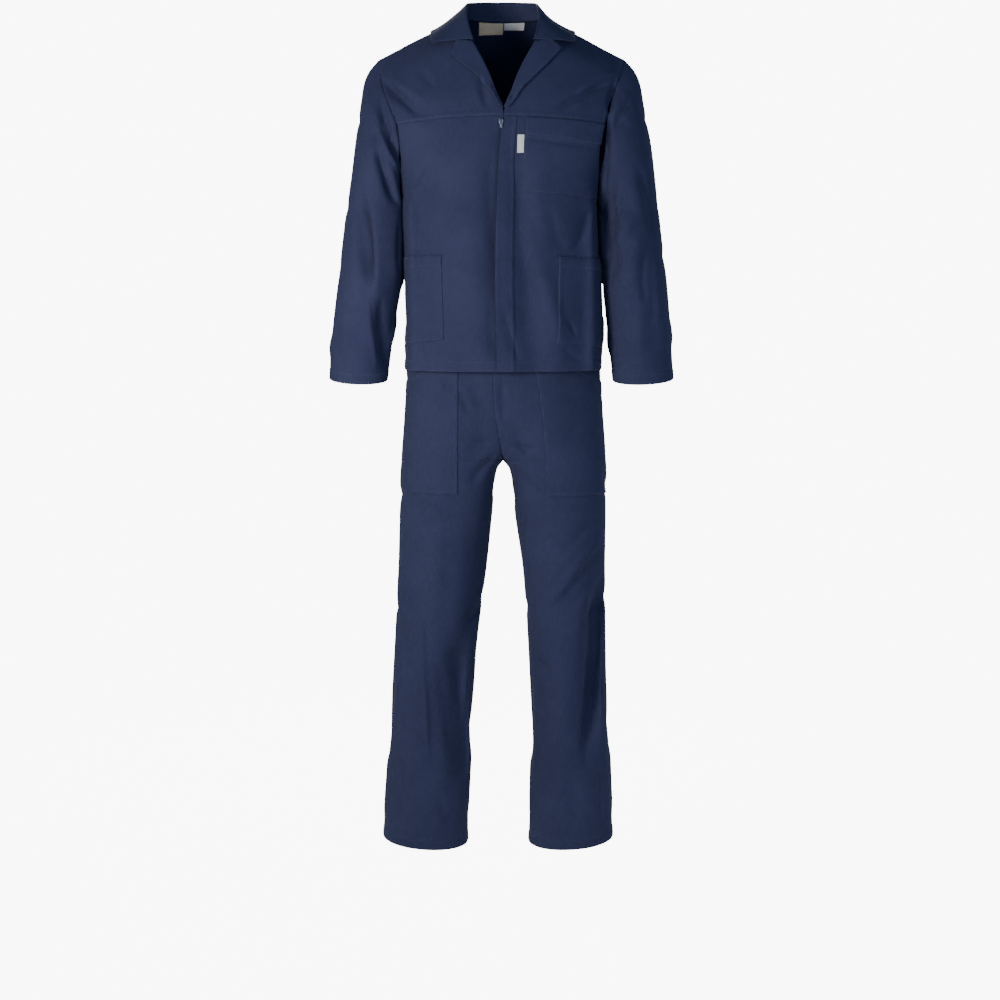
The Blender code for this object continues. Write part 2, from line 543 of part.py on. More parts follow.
# Trousers
trouser_rows = np.arange(0, WAIST_ROW + 1)
for side, word in ((1, 'left'), (-1, 'right')):
    front = trouser_half(side, trouser_rows, False)
    rear = trouser_half(side, trouser_rows, True)
    rear[:CROTCH_ROW + 1, 0] = front[:CROTCH_ROW + 1, 0]
    rear[:, -1] = front[:, -1]
    panels['trouser_front_' + word] = Panel(front, side)
    panels['trouser_back_' + word] = Panel(rear, -side)
fl, fr = panels['trouser_front_left'].grid[-1], panels['trouser_front_right'].grid[-1]
bl, br = panels['trouser_back_left'].grid[-1], panels['trouser_back_right'].grid[-1]
waist = np.concatenate([fr[::-1], fl[1:], bl[::-1][1:], br[1:-1]])
rise = np.array([0.0, 0.5, 1.0])[:, None, None]
waist_grid = waist + rise * (waist * np.array([-0.03, -0.03, 0]) + np.array([0, 0, 38.0]))
panels['waistband'] = Panel(waist_grid, 1, closed=True)

join_normals(panels.values())
for name, panel in panels.items():
    make_wall(name, panel.grid, panel.inside(), panel.sign, NAVY, panel.closed)

# Pieces sewn on the panels
for name, (base, corners, lift, thick) in PATCHES.items():
    patch(name, panels[base], corners, lift, thick, WHITE if name == 'pocket_tab' else NAVY)

for side, word, foot_z in ((1, 'left', -924), (-1, 'right', -920)):
    panel = panels['trouser_front_' + word]
    foot, mouth = panel.find(side * 87, foot_z)[0], panel.find(side * 190, -714)[0]
    top = WAIST_ROW - 0.4
    rows_in = np.concatenate([lines(foot, mouth), mouth + (top - mouth) * np.array([0.34, 0.67, 1.0])])
    row_grid, column_grid = np.meshgrid(rows_in, lines(POCKET_COLUMN + 0.02, 9.85), indexing='ij')
    over = (column_grid - column_grid[:, :1]) / (column_grid[:, -1:] - column_grid[:, :1])
    row_grid = np.where(row_grid > mouth, mouth + (row_grid - mouth) * (1 - 0.92 * over), row_grid)
    points, normal = panel.at(row_grid, column_grid)
    make_wall('trouser_pocket_' + word, points + normal * (0.7 + WALL), points + normal * 0.7, side, NAVY)

# Lapels
for side, word in ((1, 'left'), (-1, 'right')):
    rows_in = np.array([17.5, 18, 18.5, 19, 19.5, 20, 20.5, 21, 21.5, 21.97])
    rim = curve(LAPEL[side], rows_in)
    yoke = samples([panels['jacket_yoke_' + word], panels['jacket_front_' + word]])
    roll, _ = panels['jacket_yoke_' + word].at(rows_in - YOKE_ROW, rows_in * 0)
    share = np.array([0.0, 0.04, 0.3, 0.66, 1.0])
    x = roll[:, :1] + (rim[:, :1] - roll[:, :1]) * share
    z = roll[:, 2:3] + (rim[:, 1:] - roll[:, 2:3]) * share
    face = laid(x, z, yoke, 0)
    _, normal = nearest(face, yoke)
    out = outward(roll, face[:, -1] - face[:, 0])[:, None]
    nose = np.array([[-1.95, -0.7], [-2.2, 1.6], [-0.4, 3.9]])
    height = np.array([4.6, 4.9, 4.6, 3.6])
    roll = roll[:, None] + out * nose[None, :, :1] + normal[:, :1] * nose[None, :, 1:]
    leaf = face[:, 1:] + normal[:, 1:] * height[None, :, None]
    leaf[:, 0] = face[:, 0] + out[:, 0] * 3 + normal[:, 0] * 4.7
    grid = np.concatenate([roll, leaf], 1)
    panel = Panel(grid, side)
    make_wall('lapel_' + word, grid, grid - panel.own * WALL, side, NAVY)

# Collar
edge_left = halved(np.concatenate([left_yoke[ROLL_ROW - YOKE_ROW:, 0], neck_half[1][:neck_columns][::-1]]))
edge_right = halved(np.concatenate([right_yoke[ROLL_ROW - YOKE_ROW:, 0], neck_half[-1][:neck_columns][::-1]]))
along = np.linspace(0, 1, len(edge_left))
halves = [curve(np.column_stack([np.linspace(0, 1, 8), COLLAR[side]]), along) for side in (-1, 1)]
seam = np.concatenate([edge_right, edge_left[::-1][1:]])
table = np.concatenate([halves[0], halves[1][::-1][1:]])
fold, rim, bulge = table[:, :3], table[:, 3:6], table[:, 6]
out = outward(seam, (seam - np.array([0, -10, 0])) * np.array([1, 1, 0]))
up = np.array([0.0, 0.0, 1.0])
body = samples([panels[n] for n in ('jacket_yoke_left', 'jacket_yoke_right', 'jacket_back')])
foot = seam + up * 0.3 - out * (0.3 + WALL)
neck_side = fold - out * 2.4 - up * 1.6
outside = fold + out * 2.4 - up * 1.2
path = [foot, foot + (neck_side - foot) * 0.5, neck_side, fold, outside]
across = unit(np.cross(np.gradient(rim, axis=0), rim - fold))
across *= np.sign(across[:, 2:3])
for share in (0.3, 0.65, 1.0):
    swell = across * (bulge * math.sin(math.pi * share))[:, None]
    path.append(raised(outside + (rim - outside) * share + swell, body, 1.6 + WALL))
grid = np.stack(path, 0)
panel = Panel(grid, 1)
make_wall('collar', grid, grid - panel.own * WALL, 1, NAVY)

# Labels inside the back of the neck
lining = Panel(panels['jacket_back'].inside(), -1)
for name, c0, c1, r0, colour in (('neck_label', -2.1, 0.02, 21.33, STONE),
                                 ('size_label', 0.12, 1.9, 21.58, WHITE)):
    columns_in = lines(half_columns + c0, half_columns + c1)
    row_grid, column_grid = np.meshgrid(lines(r0, 21.95), columns_in, indexing='ij')
    points, normal = lining.at(row_grid, column_grid)
    make_wall(name, points - normal * 0.9, points - normal * 1.9, -1, colour)


def prism(outline, y0, y1):
    """Points and faces of a flat plate with a given outline in x, z."""
    count = len(outline)
    ring = np.array([(x, 0, z) for x, z in outline], float)
    points = np.concatenate([ring + [0, y0, 0], ring + [0, y1, 0]])
    fan = [(0, k, k + 1) for k in range(1, count - 1)]
    faces = fan + [(a + count, c + count, b + count) for a, b, c in fan]
    for k in range(count):
        m = (k + 1) % count
        faces += [(k, k + count, m + count), (k, m + count, m)]
    return points, np.array(faces)


# Zip slider and its pull tab, at the top of the opening
cloth = samples([panels['placket'], panels['jacket_front_right'], panels['jacket_yoke_left'],
                 panels['jacket_yoke_right']])
spot = laid(np.array([-2.0]), np.array([-200.0]), cloth, 0)[0]
body_outline = [(-3.2, -5.5), (3.2, -5.5), (4.4, 1), (3.6, 5.5), (-3.6, 5.5), (-4.4, 1)]
points, faces = prism(body_outline, -5.2, -2.2)
make('zip_slider', points + spot, faces, METAL, 0.35, 1.0)
tab_outline = [(-2.6, -16.5), (2.6, -16.5), (2.9, -14), (2.2, 0), (-2.2, 0), (-2.9, -14)]
points, faces = prism(tab_outline, -6.9, -5.6)
make('zip_pull', points + spot + np.array([0, 0, 3.0]), faces, METAL, 0.35, 1.0)
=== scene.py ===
"""Looks of a two-piece work suit as it hangs on its wearer: a zip jacket and trousers in navy twill.

Lengths are millimetres until a mesh is written in metres. X is the wearer's left, -Y is the front
and Z is up. Each piece of cloth is a function of two parameters, rows up and columns across, worked
out on a grid of whole arrays; folds, seams and hems then move the grid along its own normals.
"""
import logging
import math
from dataclasses import dataclass, field
from enum import Enum
from functools import cached_property
from typing import Callable, Optional, Sequence

import bmesh
import bpy
import numpy as np
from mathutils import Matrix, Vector


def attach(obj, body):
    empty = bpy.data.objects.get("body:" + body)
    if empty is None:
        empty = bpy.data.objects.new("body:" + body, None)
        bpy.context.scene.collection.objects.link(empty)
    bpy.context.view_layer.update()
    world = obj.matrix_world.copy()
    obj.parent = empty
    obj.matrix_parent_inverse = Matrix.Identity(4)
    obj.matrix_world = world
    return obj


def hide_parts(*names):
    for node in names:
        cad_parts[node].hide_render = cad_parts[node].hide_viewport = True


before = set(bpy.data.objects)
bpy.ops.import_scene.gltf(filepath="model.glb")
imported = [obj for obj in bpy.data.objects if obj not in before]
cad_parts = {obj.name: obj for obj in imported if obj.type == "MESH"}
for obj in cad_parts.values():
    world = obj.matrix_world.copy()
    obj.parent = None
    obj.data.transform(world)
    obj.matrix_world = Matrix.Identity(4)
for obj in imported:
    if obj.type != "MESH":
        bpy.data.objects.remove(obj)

log = logging.getLogger("work_suit")

Table = tuple[tuple[float, ...], ...]
Shape = Callable[[np.ndarray, np.ndarray], np.ndarray]

MM = 0.001
SUIT = "suit"
DEEPEST = 0.75  # Share of the cloth's depth that a broad trough may take


# Small mathematics on whole arrays

def curve(table: Table, at: np.ndarray) -> np.ndarray:
    """Every column of a table at the given places, as a cubic that never overshoots its rows.

    Args:
        table: rows whose first column is the place and the rest are values.
        at: places, of any shape.

    Returns:
        Values with one more axis than the places.
    """
    data = np.array(table, float)
    knots, values = data[:, 0], data[:, 1:]
    slope = np.diff(values, axis=0) / np.diff(knots)[:, None]
    product, total = slope[:-1] * slope[1:], slope[:-1] + slope[1:]
    inner = np.where(product > 0, 2 * product / np.where(product > 0, total, 1), 0)
    tangent = np.vstack([slope[:1], inner, slope[-1:]])
    at = np.clip(np.asarray(at, float), knots[0], knots[-1])
    k = np.clip(np.searchsorted(knots, at, side="right") - 1, 0, len(knots) - 2)
    step = (knots[k + 1] - knots[k])[..., None]
    t = (at[..., None] - knots[k][..., None]) / step
    return ((1 + 2 * t) * (1 - t) ** 2 * values[k] + t * (1 - t) ** 2 * step * tangent[k]
            + t * t * (3 - 2 * t) * values[k + 1] + t * t * (t - 1) * step * tangent[k + 1])


def split(values: np.ndarray) -> list[np.ndarray]:
    """The last axis of an array as separate arrays."""
    return list(np.moveaxis(values, -1, 0))


def smooth(t: np.ndarray) -> np.ndarray:
    """A soft step from 0 to 1: 3t squared less 2t cubed."""
    t = np.clip(t, 0, 1)
    return t * t * (3 - 2 * t)


def below(z: np.ndarray, top: float, fade: float) -> np.ndarray:
    """0 above a height, and softly up to 1 over the fade below it."""
    return smooth((top - z) / fade)


def bell(t: np.ndarray) -> np.ndarray:
    """A bell of height one: e to the power of minus t squared."""
    return np.exp(-t * t)


def unit(vectors: np.ndarray) -> np.ndarray:
    """Vectors of length one."""
    return vectors / np.maximum(np.linalg.norm(vectors, axis=-1, keepdims=True), 1e-9)


def noise(points: np.ndarray, cell: Sequence[float], seed: int) -> np.ndarray:
    """Smooth noise from -1 to 1: each lattice corner has a hashed value, blended by soft steps.

    Args:
        points: places in millimetres, last axis x, y, z.
        cell: size of a lattice cell along each axis.
        seed: picks another pattern.

    Returns:
        One value for each point.
    """
    place = points / np.asarray(cell, float) + 1000.0
    low = np.floor(place).astype(np.int64)
    part = smooth(place - low)
    total = np.zeros(points.shape[:-1])
    for corner in range(8):
        pick = np.array([corner & 1, corner >> 1 & 1, corner >> 2 & 1])
        at = low + pick
        key = (at[..., 0] * 73856093) ^ (at[..., 1] * 19349663) ^ (at[..., 2] * 83492791) ^ (seed * 2654435)
        key = (key ^ (key >> 13)) * 1274126177 & 0x7FFFFFFF
        value = (key % 20011) / 10005.5 - 1
        total += value * np.prod(np.where(pick, part, 1 - part), axis=-1)
    return total


def spline_sheet(control: np.ndarray, straight: int = 0) -> Shape:
    """A smooth surface through a grid of points: Catmull-Rom curves along rows and columns.

    Args:
        control: rows x columns x 3 points.
        straight: how many of the last steps between rows are straight, after a sharp corner.

    Returns:
        The surface, whose parameters are row and column numbers of the grid.
    """
    if straight:
        curved, flat = spline_sheet(control[:-straight]), spline_sheet(control[-straight - 1:])
        corner = len(control) - 1 - straight

        def bent(rows: np.ndarray, columns: np.ndarray) -> np.ndarray:
            rows = np.asarray(rows, float)
            over = flat(np.maximum(rows - corner, 0), columns)
            return np.where((rows > corner)[..., None], over, curved(np.minimum(rows, corner), columns))
        return bent

    padded = np.concatenate([2 * control[:1] - control[1:2], control, 2 * control[-1:] - control[-2:-1]])
    before, after = 2 * padded[:, :1] - padded[:, 1:2], 2 * padded[:, -1:] - padded[:, -2:-1]
    padded = np.concatenate([before, padded, after], 1)

    def weights(t: np.ndarray) -> tuple[np.ndarray, ...]:
        return ((-t + 2 * t * t - t ** 3) / 2, (2 - 5 * t * t + 3 * t ** 3) / 2,
                (t + 4 * t * t - 3 * t ** 3) / 2, (t ** 3 - t * t) / 2)

    def shape(rows: np.ndarray, columns: np.ndarray) -> np.ndarray:
        rows, columns = np.broadcast_arrays(np.asarray(rows, float), np.asarray(columns, float))
        r = np.clip(np.floor(rows).astype(int), 0, control.shape[0] - 2)
        c = np.clip(np.floor(columns).astype(int), 0, control.shape[1] - 2)
        over, along = weights(rows - r), weights(columns - c)
        return sum((over[i] * along[j])[..., None] * padded[r + i, c + j] for i in range(4) for j in range(4))
    return shape


def creased(points: np.ndarray, ahead: Table, behind: Table, middle: float = 0.0,
            reach: float = 45.0) -> np.ndarray:
    """Points moved forward by the folds ahead of the middle and backward by those behind it.

    Each fold is a bell of the distance from its line, seen from the front, and dies out towards both
    ends. A trough takes no more than a share of the depth ahead of the middle or behind it.

    Args:
        points: places in millimetres.
        ahead: folds of the front: x z at one end, x z at the other, width, height.
        behind: folds of the back, in the same columns.
        middle: y of the plane between front and back.
        reach: depth at which a fold has its full height.

    Returns:
        The moved points.
    """
    moved = points.copy()
    x, z = points[..., 0], points[..., 2]
    for folds, sign in ((ahead, -1), (behind, 1)):
        deep = np.maximum(sign * (points[..., 1] - middle), 0)
        facing, travel = smooth(deep / reach), np.zeros(x.shape)
        for x0, z0, x1, z1, width, height in folds:
            dx, dz = x1 - x0, z1 - z0
            along = np.clip(((x - x0) * dx + (z - z0) * dz) / (dx * dx + dz * dz), 0, 1)
            away = np.hypot(x - x0 - along * dx, z - z0 - along * dz)
            travel += facing * height * bell(away / width) * smooth(0.3 + 3 * along * (1 - along))
        moved[..., 1] += sign * np.maximum(travel, -DEEPEST * deep)
    return moved


# Folds of the cloth

class Side(Enum):
    """The side that a fold is seen from: the axis across it, and the axis and sign it faces."""
    FRONT = (0, 1, -1)
    BACK = (0, 1, 1)
    LEFT = (1, 0, 1)
    RIGHT = (1, 0, -1)


@dataclass(frozen=True)
class Folds:
    """Folds placed one by one on one side of the suit.

    Each row is: across and z at one end, across and z at the other, how far the fold bows, its half
    width, its height (a trough is below 0), and how much steeper it is on one flank.
    """
    side: Side
    rows: Table
    strength: float = 1.5

    def height(self, points: np.ndarray, normals: np.ndarray) -> np.ndarray:
        """How far the folds move each point along its normal.

        The height is a bell across the fold, whose flanks differ by the skew and draw together
        towards both ends, times soft steps there. A fold shows only on cloth that faces its side.

        Args:
            points: places in millimetres.
            normals: outward directions there.

        Returns:
            Millimetres, out of the cloth above 0.
        """
        across, axis, sign = self.side.value
        x, z = points[..., across], points[..., 2]
        facing = smooth(normals[..., axis] * sign / 0.55)
        total = np.zeros(x.shape)
        for x0, z0, x1, z1, bow, width, high, skew in self.rows:
            dx, dz = x1 - x0, z1 - z0
            length = math.hypot(dx, dz)
            t = ((x - x0) * dx + (z - z0) * dz) / length ** 2
            off = ((x - x0) * dz - (z - z0) * dx) / length - bow * 4 * t * (1 - t)
            off = off + 0.18 * width * np.sin(7 * t + x0)
            taper = 0.5 + 2 * np.clip(t, 0, 1) * (1 - np.clip(t, 0, 1))
            flank = width * taper * (1 + skew * np.tanh(2 * off / width))
            ends = smooth(t / 0.3) * smooth((1 - t) / 0.3)
            total += high * bell(off / flank) * ends
        return self.strength * total * facing


@dataclass(frozen=True)
class Rumple:
    """Small unevenness of used, washed cloth: noise stretched along z, in three sizes."""
    high: float = 0.55
    seed: int = 3

    def height(self, points: np.ndarray) -> np.ndarray:
        """Millimetres along the normal, from the sum of a wide, a middle and a fine noise."""
        wide = noise(points, (58, 58, 130), self.seed) * 1.6
        middle = noise(points + wide[..., None] * 9, (26, 26, 62), self.seed + 1)
        fine = noise(points, (11, 11, 19), self.seed + 2) * 0.22
        return self.high * (wide + 0.8 * middle * (1 + wide * 0.5) + fine)


# Edges of a piece of cloth

class Edge(Enum):
    """How an edge is finished: distances of the grid lines beside it, and of its stitching."""
    SEAM = ((0, 0.5, 1.1, 1.8, 3.0, 5.0), ())
    FELLED = ((0, 0.5, 1.1, 1.8, 2.5, 4.0, 6.0, 7.6, 9.2, 11.5), (1.8,))
    HEM = ((0, 0.7, 2, 5, 9, 14, 17.6, 18.6, 19.2, 19.8, 21, 24), (19.2,))
    TOPSTITCHED = ((0, 0.5, 1.4, 3, 4.8, 5.8, 6.4, 7.0, 8.2, 10.5), (6.4,))
    LAID = ((0, 0.35, 0.8, 1.3, 1.8, 2.4, 3.8, 6.0, 9.0), (1.8,))
    LAID_TWICE = ((0, 0.35, 0.8, 1.3, 1.8, 2.4, 4.0, 5.6, 6.2, 6.8, 8.4, 11.0), (1.8, 6.2))
    MOUTH = ((0, 0.4, 1.2, 3, 8, 14, 18.2, 19.2, 19.8, 20.4, 22), (19.8,))
    PLAIN = ((0, 1.0, 2.5), ())

    @property
    def marks(self) -> np.ndarray:
        """Distances of the grid lines from the edge."""
        return np.array(self.value[0], float)

    @property
    def stitched(self) -> tuple[float, ...]:
        """Distances of the rows of stitching from the edge."""
        return self.value[1]

    def relief(self, away: np.ndarray) -> np.ndarray:
        """How far the finish moves the cloth along its normal, at a distance from the edge.

        A seam sinks in a narrow bell. Turned cloth stands higher up to its stitching. Each row of
        stitching is a narrow groove.
        """
        grooves = sum((-0.28 * bell((away - at) / 0.75) for at in self.stitched), np.zeros(away.shape))
        if self is Edge.SEAM:
            return -1.0 * bell(away / 1.3)
        if self is Edge.FELLED:
            return 0.7 * (1 - smooth((away - 7.0) / 3.0)) - 1.9 * bell(away / 1.2) + grooves
        if self is Edge.HEM:
            return 0.8 * (1 - smooth((away - 18.8) / 2.0)) - 0.5 * bell(away / 1.6) + 1.3 * grooves
        if self is Edge.TOPSTITCHED:
            return 0.35 * (1 - smooth((away - 6.6) / 1.8)) - 0.5 * bell(away / 1.0) + grooves
        if self is Edge.MOUTH:
            return 0.7 * (1 - smooth((away - 19.6) / 2.0)) - 0.4 * bell(away / 1.0) + grooves
        if self in (Edge.LAID, Edge.LAID_TWICE):
            return -1.4 * bell(away / 0.8) + 0.4 * (1 - smooth((away - 6.4) / 2.4)) + grooves
        return np.zeros(away.shape)

    def wear_and_highlight(self, away: np.ndarray) -> np.ndarray:
        """How pale the colour is, 0 to 1, on the edge and on the ridge of turned cloth:
        partly rubbed dye, partly a painted highlight where edges and ridges catch the light.
        """
        if not self.stitched:
            return 0.25 * bell(away / 1.5)
        outermost = max(self.stitched)
        return np.maximum(0.7 * bell((away - 0.7) / 1.0), 0.4 * bell((away - outermost) / 1.5))


# Meshes

def quads(rows: int, columns: int, closed: bool, flip: bool) -> np.ndarray:
    """Corner numbers of the faces of a grid, turned over where flip is true."""
    index = np.arange(rows * columns).reshape(rows, columns)
    wide = np.concatenate([index, index[:, :1]], 1) if closed else index
    faces = np.stack([wide[:-1, :-1], wide[:-1, 1:], wide[1:, 1:], wide[1:, :-1]], -1).reshape(-1, 4)
    return faces[:, ::-1] if flip else faces


def new_mesh(name: str, points: np.ndarray, faces: np.ndarray, uv: Optional[np.ndarray] = None,
             values: Optional[dict[str, np.ndarray]] = None, weld: bool = False) -> bpy.types.Object:
    """An object from points in millimetres and faces that all have the same number of corners.

    Args:
        name: the object's name.
        points: n x 3 places.
        faces: m x k corner numbers.
        uv: n x 2 pattern places in metres, for a map named cloth.
        values: n numbers for each attribute, by its name.
        weld: joins points that fall on each other, as at the middle of a face.

    Returns:
        The object, smooth and linked to the scene.
    """
    mesh = bpy.data.meshes.new(name)
    count, corners = faces.shape
    mesh.vertices.add(len(points))
    mesh.vertices.foreach_set("co", (points * MM).astype(np.float32).ravel())
    mesh.loops.add(count * corners)
    mesh.loops.foreach_set("vertex_index", faces.astype(np.int32).ravel())
    mesh.polygons.add(count)
    mesh.polygons.foreach_set("loop_start", np.arange(0, count * corners, corners, dtype=np.int32))
    mesh.polygons.foreach_set("use_smooth", np.ones(count, bool))
    mesh.update(calc_edges=True)
    if uv is not None:
        layer = mesh.uv_layers.new(name="cloth")
        layer.data.foreach_set("uv", uv[faces.ravel()].astype(np.float32).ravel())
    for key, numbers in (values or {}).items():
        mesh.attributes.new(key, "FLOAT", "POINT").data.foreach_set("value", numbers.astype(np.float32))
    if weld:
        editor = bmesh.new()
        editor.from_mesh(mesh)
        bmesh.ops.remove_doubles(editor, verts=editor.verts, dist=1e-7)
        editor.to_mesh(mesh)
        editor.free()
    mesh.validate()
    item = bpy.data.objects.new(name, mesh)
    bpy.context.scene.collection.objects.link(item)
    return item


@dataclass(frozen=True)
class Ground:
    """Many points of a surface with their outward directions, for laying a collar or a lapel on it."""
    points: np.ndarray
    normals: np.ndarray

    @classmethod
    def of(cls, panels: Sequence["Panel"]) -> "Ground":
        """Samples of several panels."""
        points, normals = [], []
        for panel in panels:
            grid = np.meshgrid(np.linspace(*panel.rows, 120), np.linspace(*panel.columns, 120), indexing="ij")
            points.append(panel.shape(*grid).reshape(-1, 3))
            normals.append(panel.normals(*grid).reshape(-1, 3))
        return cls(np.concatenate(points), np.concatenate(normals))

    def near(self, places: np.ndarray, axes: tuple[int, ...]) -> np.ndarray:
        """Numbers of the samples nearest to places, by the given axes alone."""
        flat, own = places.reshape(-1, len(axes)), self.points[:, axes]
        blocks = np.array_split(flat, len(flat) // 40 + 1)
        found = [((block[:, None] - own[None]) ** 2).sum(-1).argmin(1) for block in blocks]
        return np.concatenate(found).reshape(places.shape[:-1])

    def laid(self, x: np.ndarray, z: np.ndarray) -> np.ndarray:
        """Points of the surface at x, z as seen from the front."""
        k = self.near(np.stack([x, z], -1), (0, 2))
        base, normal = self.points[k], self.normals[k]
        start = np.stack([x, base[..., 1], z], -1)
        offset = ((start - base) * normal).sum(-1)
        start[..., 1] -= offset / np.minimum(normal[..., 1], -0.2)
        return start

    def raised(self, points: np.ndarray, gap: float) -> np.ndarray:
        """Points pushed out where they are nearer to the surface than the gap."""
        k = self.near(points, (0, 1, 2))
        height = ((points - self.points[k]) * self.normals[k]).sum(-1, keepdims=True)
        return points + self.normals[k] * np.maximum(gap - height, 0)


@dataclass
class Cloth:
    """One piece of cloth: a grid of points on its outer face, and the normals it was moved along.

    Attributes:
        name: name of the piece, and of the solid it stands for.
        points: rows x columns x 3, in millimetres.
        normals: outward directions of the smooth form under the folds.
        sign: 1 where columns x rows turn outward.
        closed: whether the columns close into a tube.
        thick: thickness of the wall.
        wear_and_highlight: how pale the colour is at each point, 0 to 1: partly rubbed dye, partly a painted
            highlight on edges and ridges.
    """
    name: str
    points: np.ndarray
    normals: np.ndarray
    sign: int
    closed: bool = False
    thick: float = 1.0
    wear_and_highlight: Optional[np.ndarray] = None

    def steps(self, axis: int) -> np.ndarray:
        """Distances travelled along rows (axis 0) or columns (axis 1) from the first line."""
        length = np.linalg.norm(np.diff(self.points, axis=axis), axis=-1)
        start = np.zeros_like(length[:1] if axis == 0 else length[:, :1])
        return np.concatenate([start, np.cumsum(length, axis=axis)], axis=axis)

    def cut(self) -> tuple[float, float, float]:
        """Width, length and area of the flat piece, in metres and square metres."""
        grid = np.concatenate([self.points, self.points[:, :1]], 1) if self.closed else self.points
        over, up = grid[1:, 1:] - grid[:-1, :-1], grid[1:, :-1] - grid[:-1, 1:]
        area = 0.5 * np.linalg.norm(np.cross(over, up), axis=-1).sum()
        width = np.linalg.norm(np.diff(grid, axis=1), axis=-1).sum(1).max()
        length = np.linalg.norm(np.diff(grid, axis=0), axis=-1).sum(0).max()
        return width * MM, length * MM, area * MM * MM

    def ground(self) -> Ground:
        """The folded surface itself, for stitches that cross it."""
        along, up = np.gradient(self.points, axis=1), np.gradient(self.points, axis=0)
        return Ground(self.points.reshape(-1, 3), unit(self.sign * np.cross(along, up)).reshape(-1, 3))

    def build(self) -> bpy.types.Object:
        """Writes the wall: outer face, inner face, and a rounded strip round every free edge.

        The strip's middle line lies half way through the wall and stands out by a third of it.
        """
        rows, columns = self.points.shape[:2]
        inner = self.points - self.normals * self.thick
        half = (self.points + inner) / 2
        out = self.thick * 0.35
        half[0] += unit(half[0] - half[1]) * out
        half[-1] += unit(half[-1] - half[-2]) * out
        if not self.closed:
            half[:, 0] += unit(half[:, 0] - half[:, 1]) * out
            half[:, -1] += unit(half[:, -1] - half[:, -2]) * out
        outer_faces = quads(rows, columns, self.closed, self.sign < 0)
        size = rows * columns
        index = np.arange(size).reshape(rows, columns)
        if self.closed:
            wide = np.concatenate([index, index[:, :1]], 1)
            borders = [wide[0], wide[-1][::-1]]
        else:
            borders = [np.concatenate([index[0], index[1:, -1], index[-1, -2::-1], index[-2::-1, 0]])]
        strips = []
        for line in borders:
            p, q = line[:-1], line[1:]
            strips += [np.stack([q, p, p + size, q + size], 1),
                       np.stack([q + size, p + size, p + 2 * size, q + 2 * size], 1)]
        sides = np.concatenate(strips)
        if self.sign < 0:
            sides = sides[:, ::-1]
        used = np.unique(np.concatenate(borders)) + size
        points = np.concatenate([self.points.reshape(-1, 3), half.reshape(-1, 3), inner.reshape(-1, 3)])
        faces = np.concatenate([outer_faces, outer_faces[:, ::-1] + 2 * size, sides])
        keep = np.ones(3 * size, bool)
        keep[size:2 * size] = False
        keep[used] = True
        renumber = np.cumsum(keep) - 1
        across, up = self.steps(1), self.steps(0)
        uv = np.stack([across, up], -1).reshape(-1, 2) * MM
        # Paleness of edges and ridges, partly rubbed dye and partly a painted highlight, on the outer face
        # and the rounded strip. Painted shade: the inner face, and a little of the strip, is darkened as if
        # the hollow inside lay in shade.
        wear_and_highlight = np.zeros(size) if self.wear_and_highlight is None else self.wear_and_highlight.ravel()
        values = {"wear_and_highlight": np.concatenate([wear_and_highlight, wear_and_highlight, wear_and_highlight * 0])[keep],
                  "inside": np.repeat([0.0, 0.3, 1.0], size)[keep]}
        return new_mesh(self.name, points[keep], renumber[faces], np.concatenate([uv, uv, uv])[keep], values)


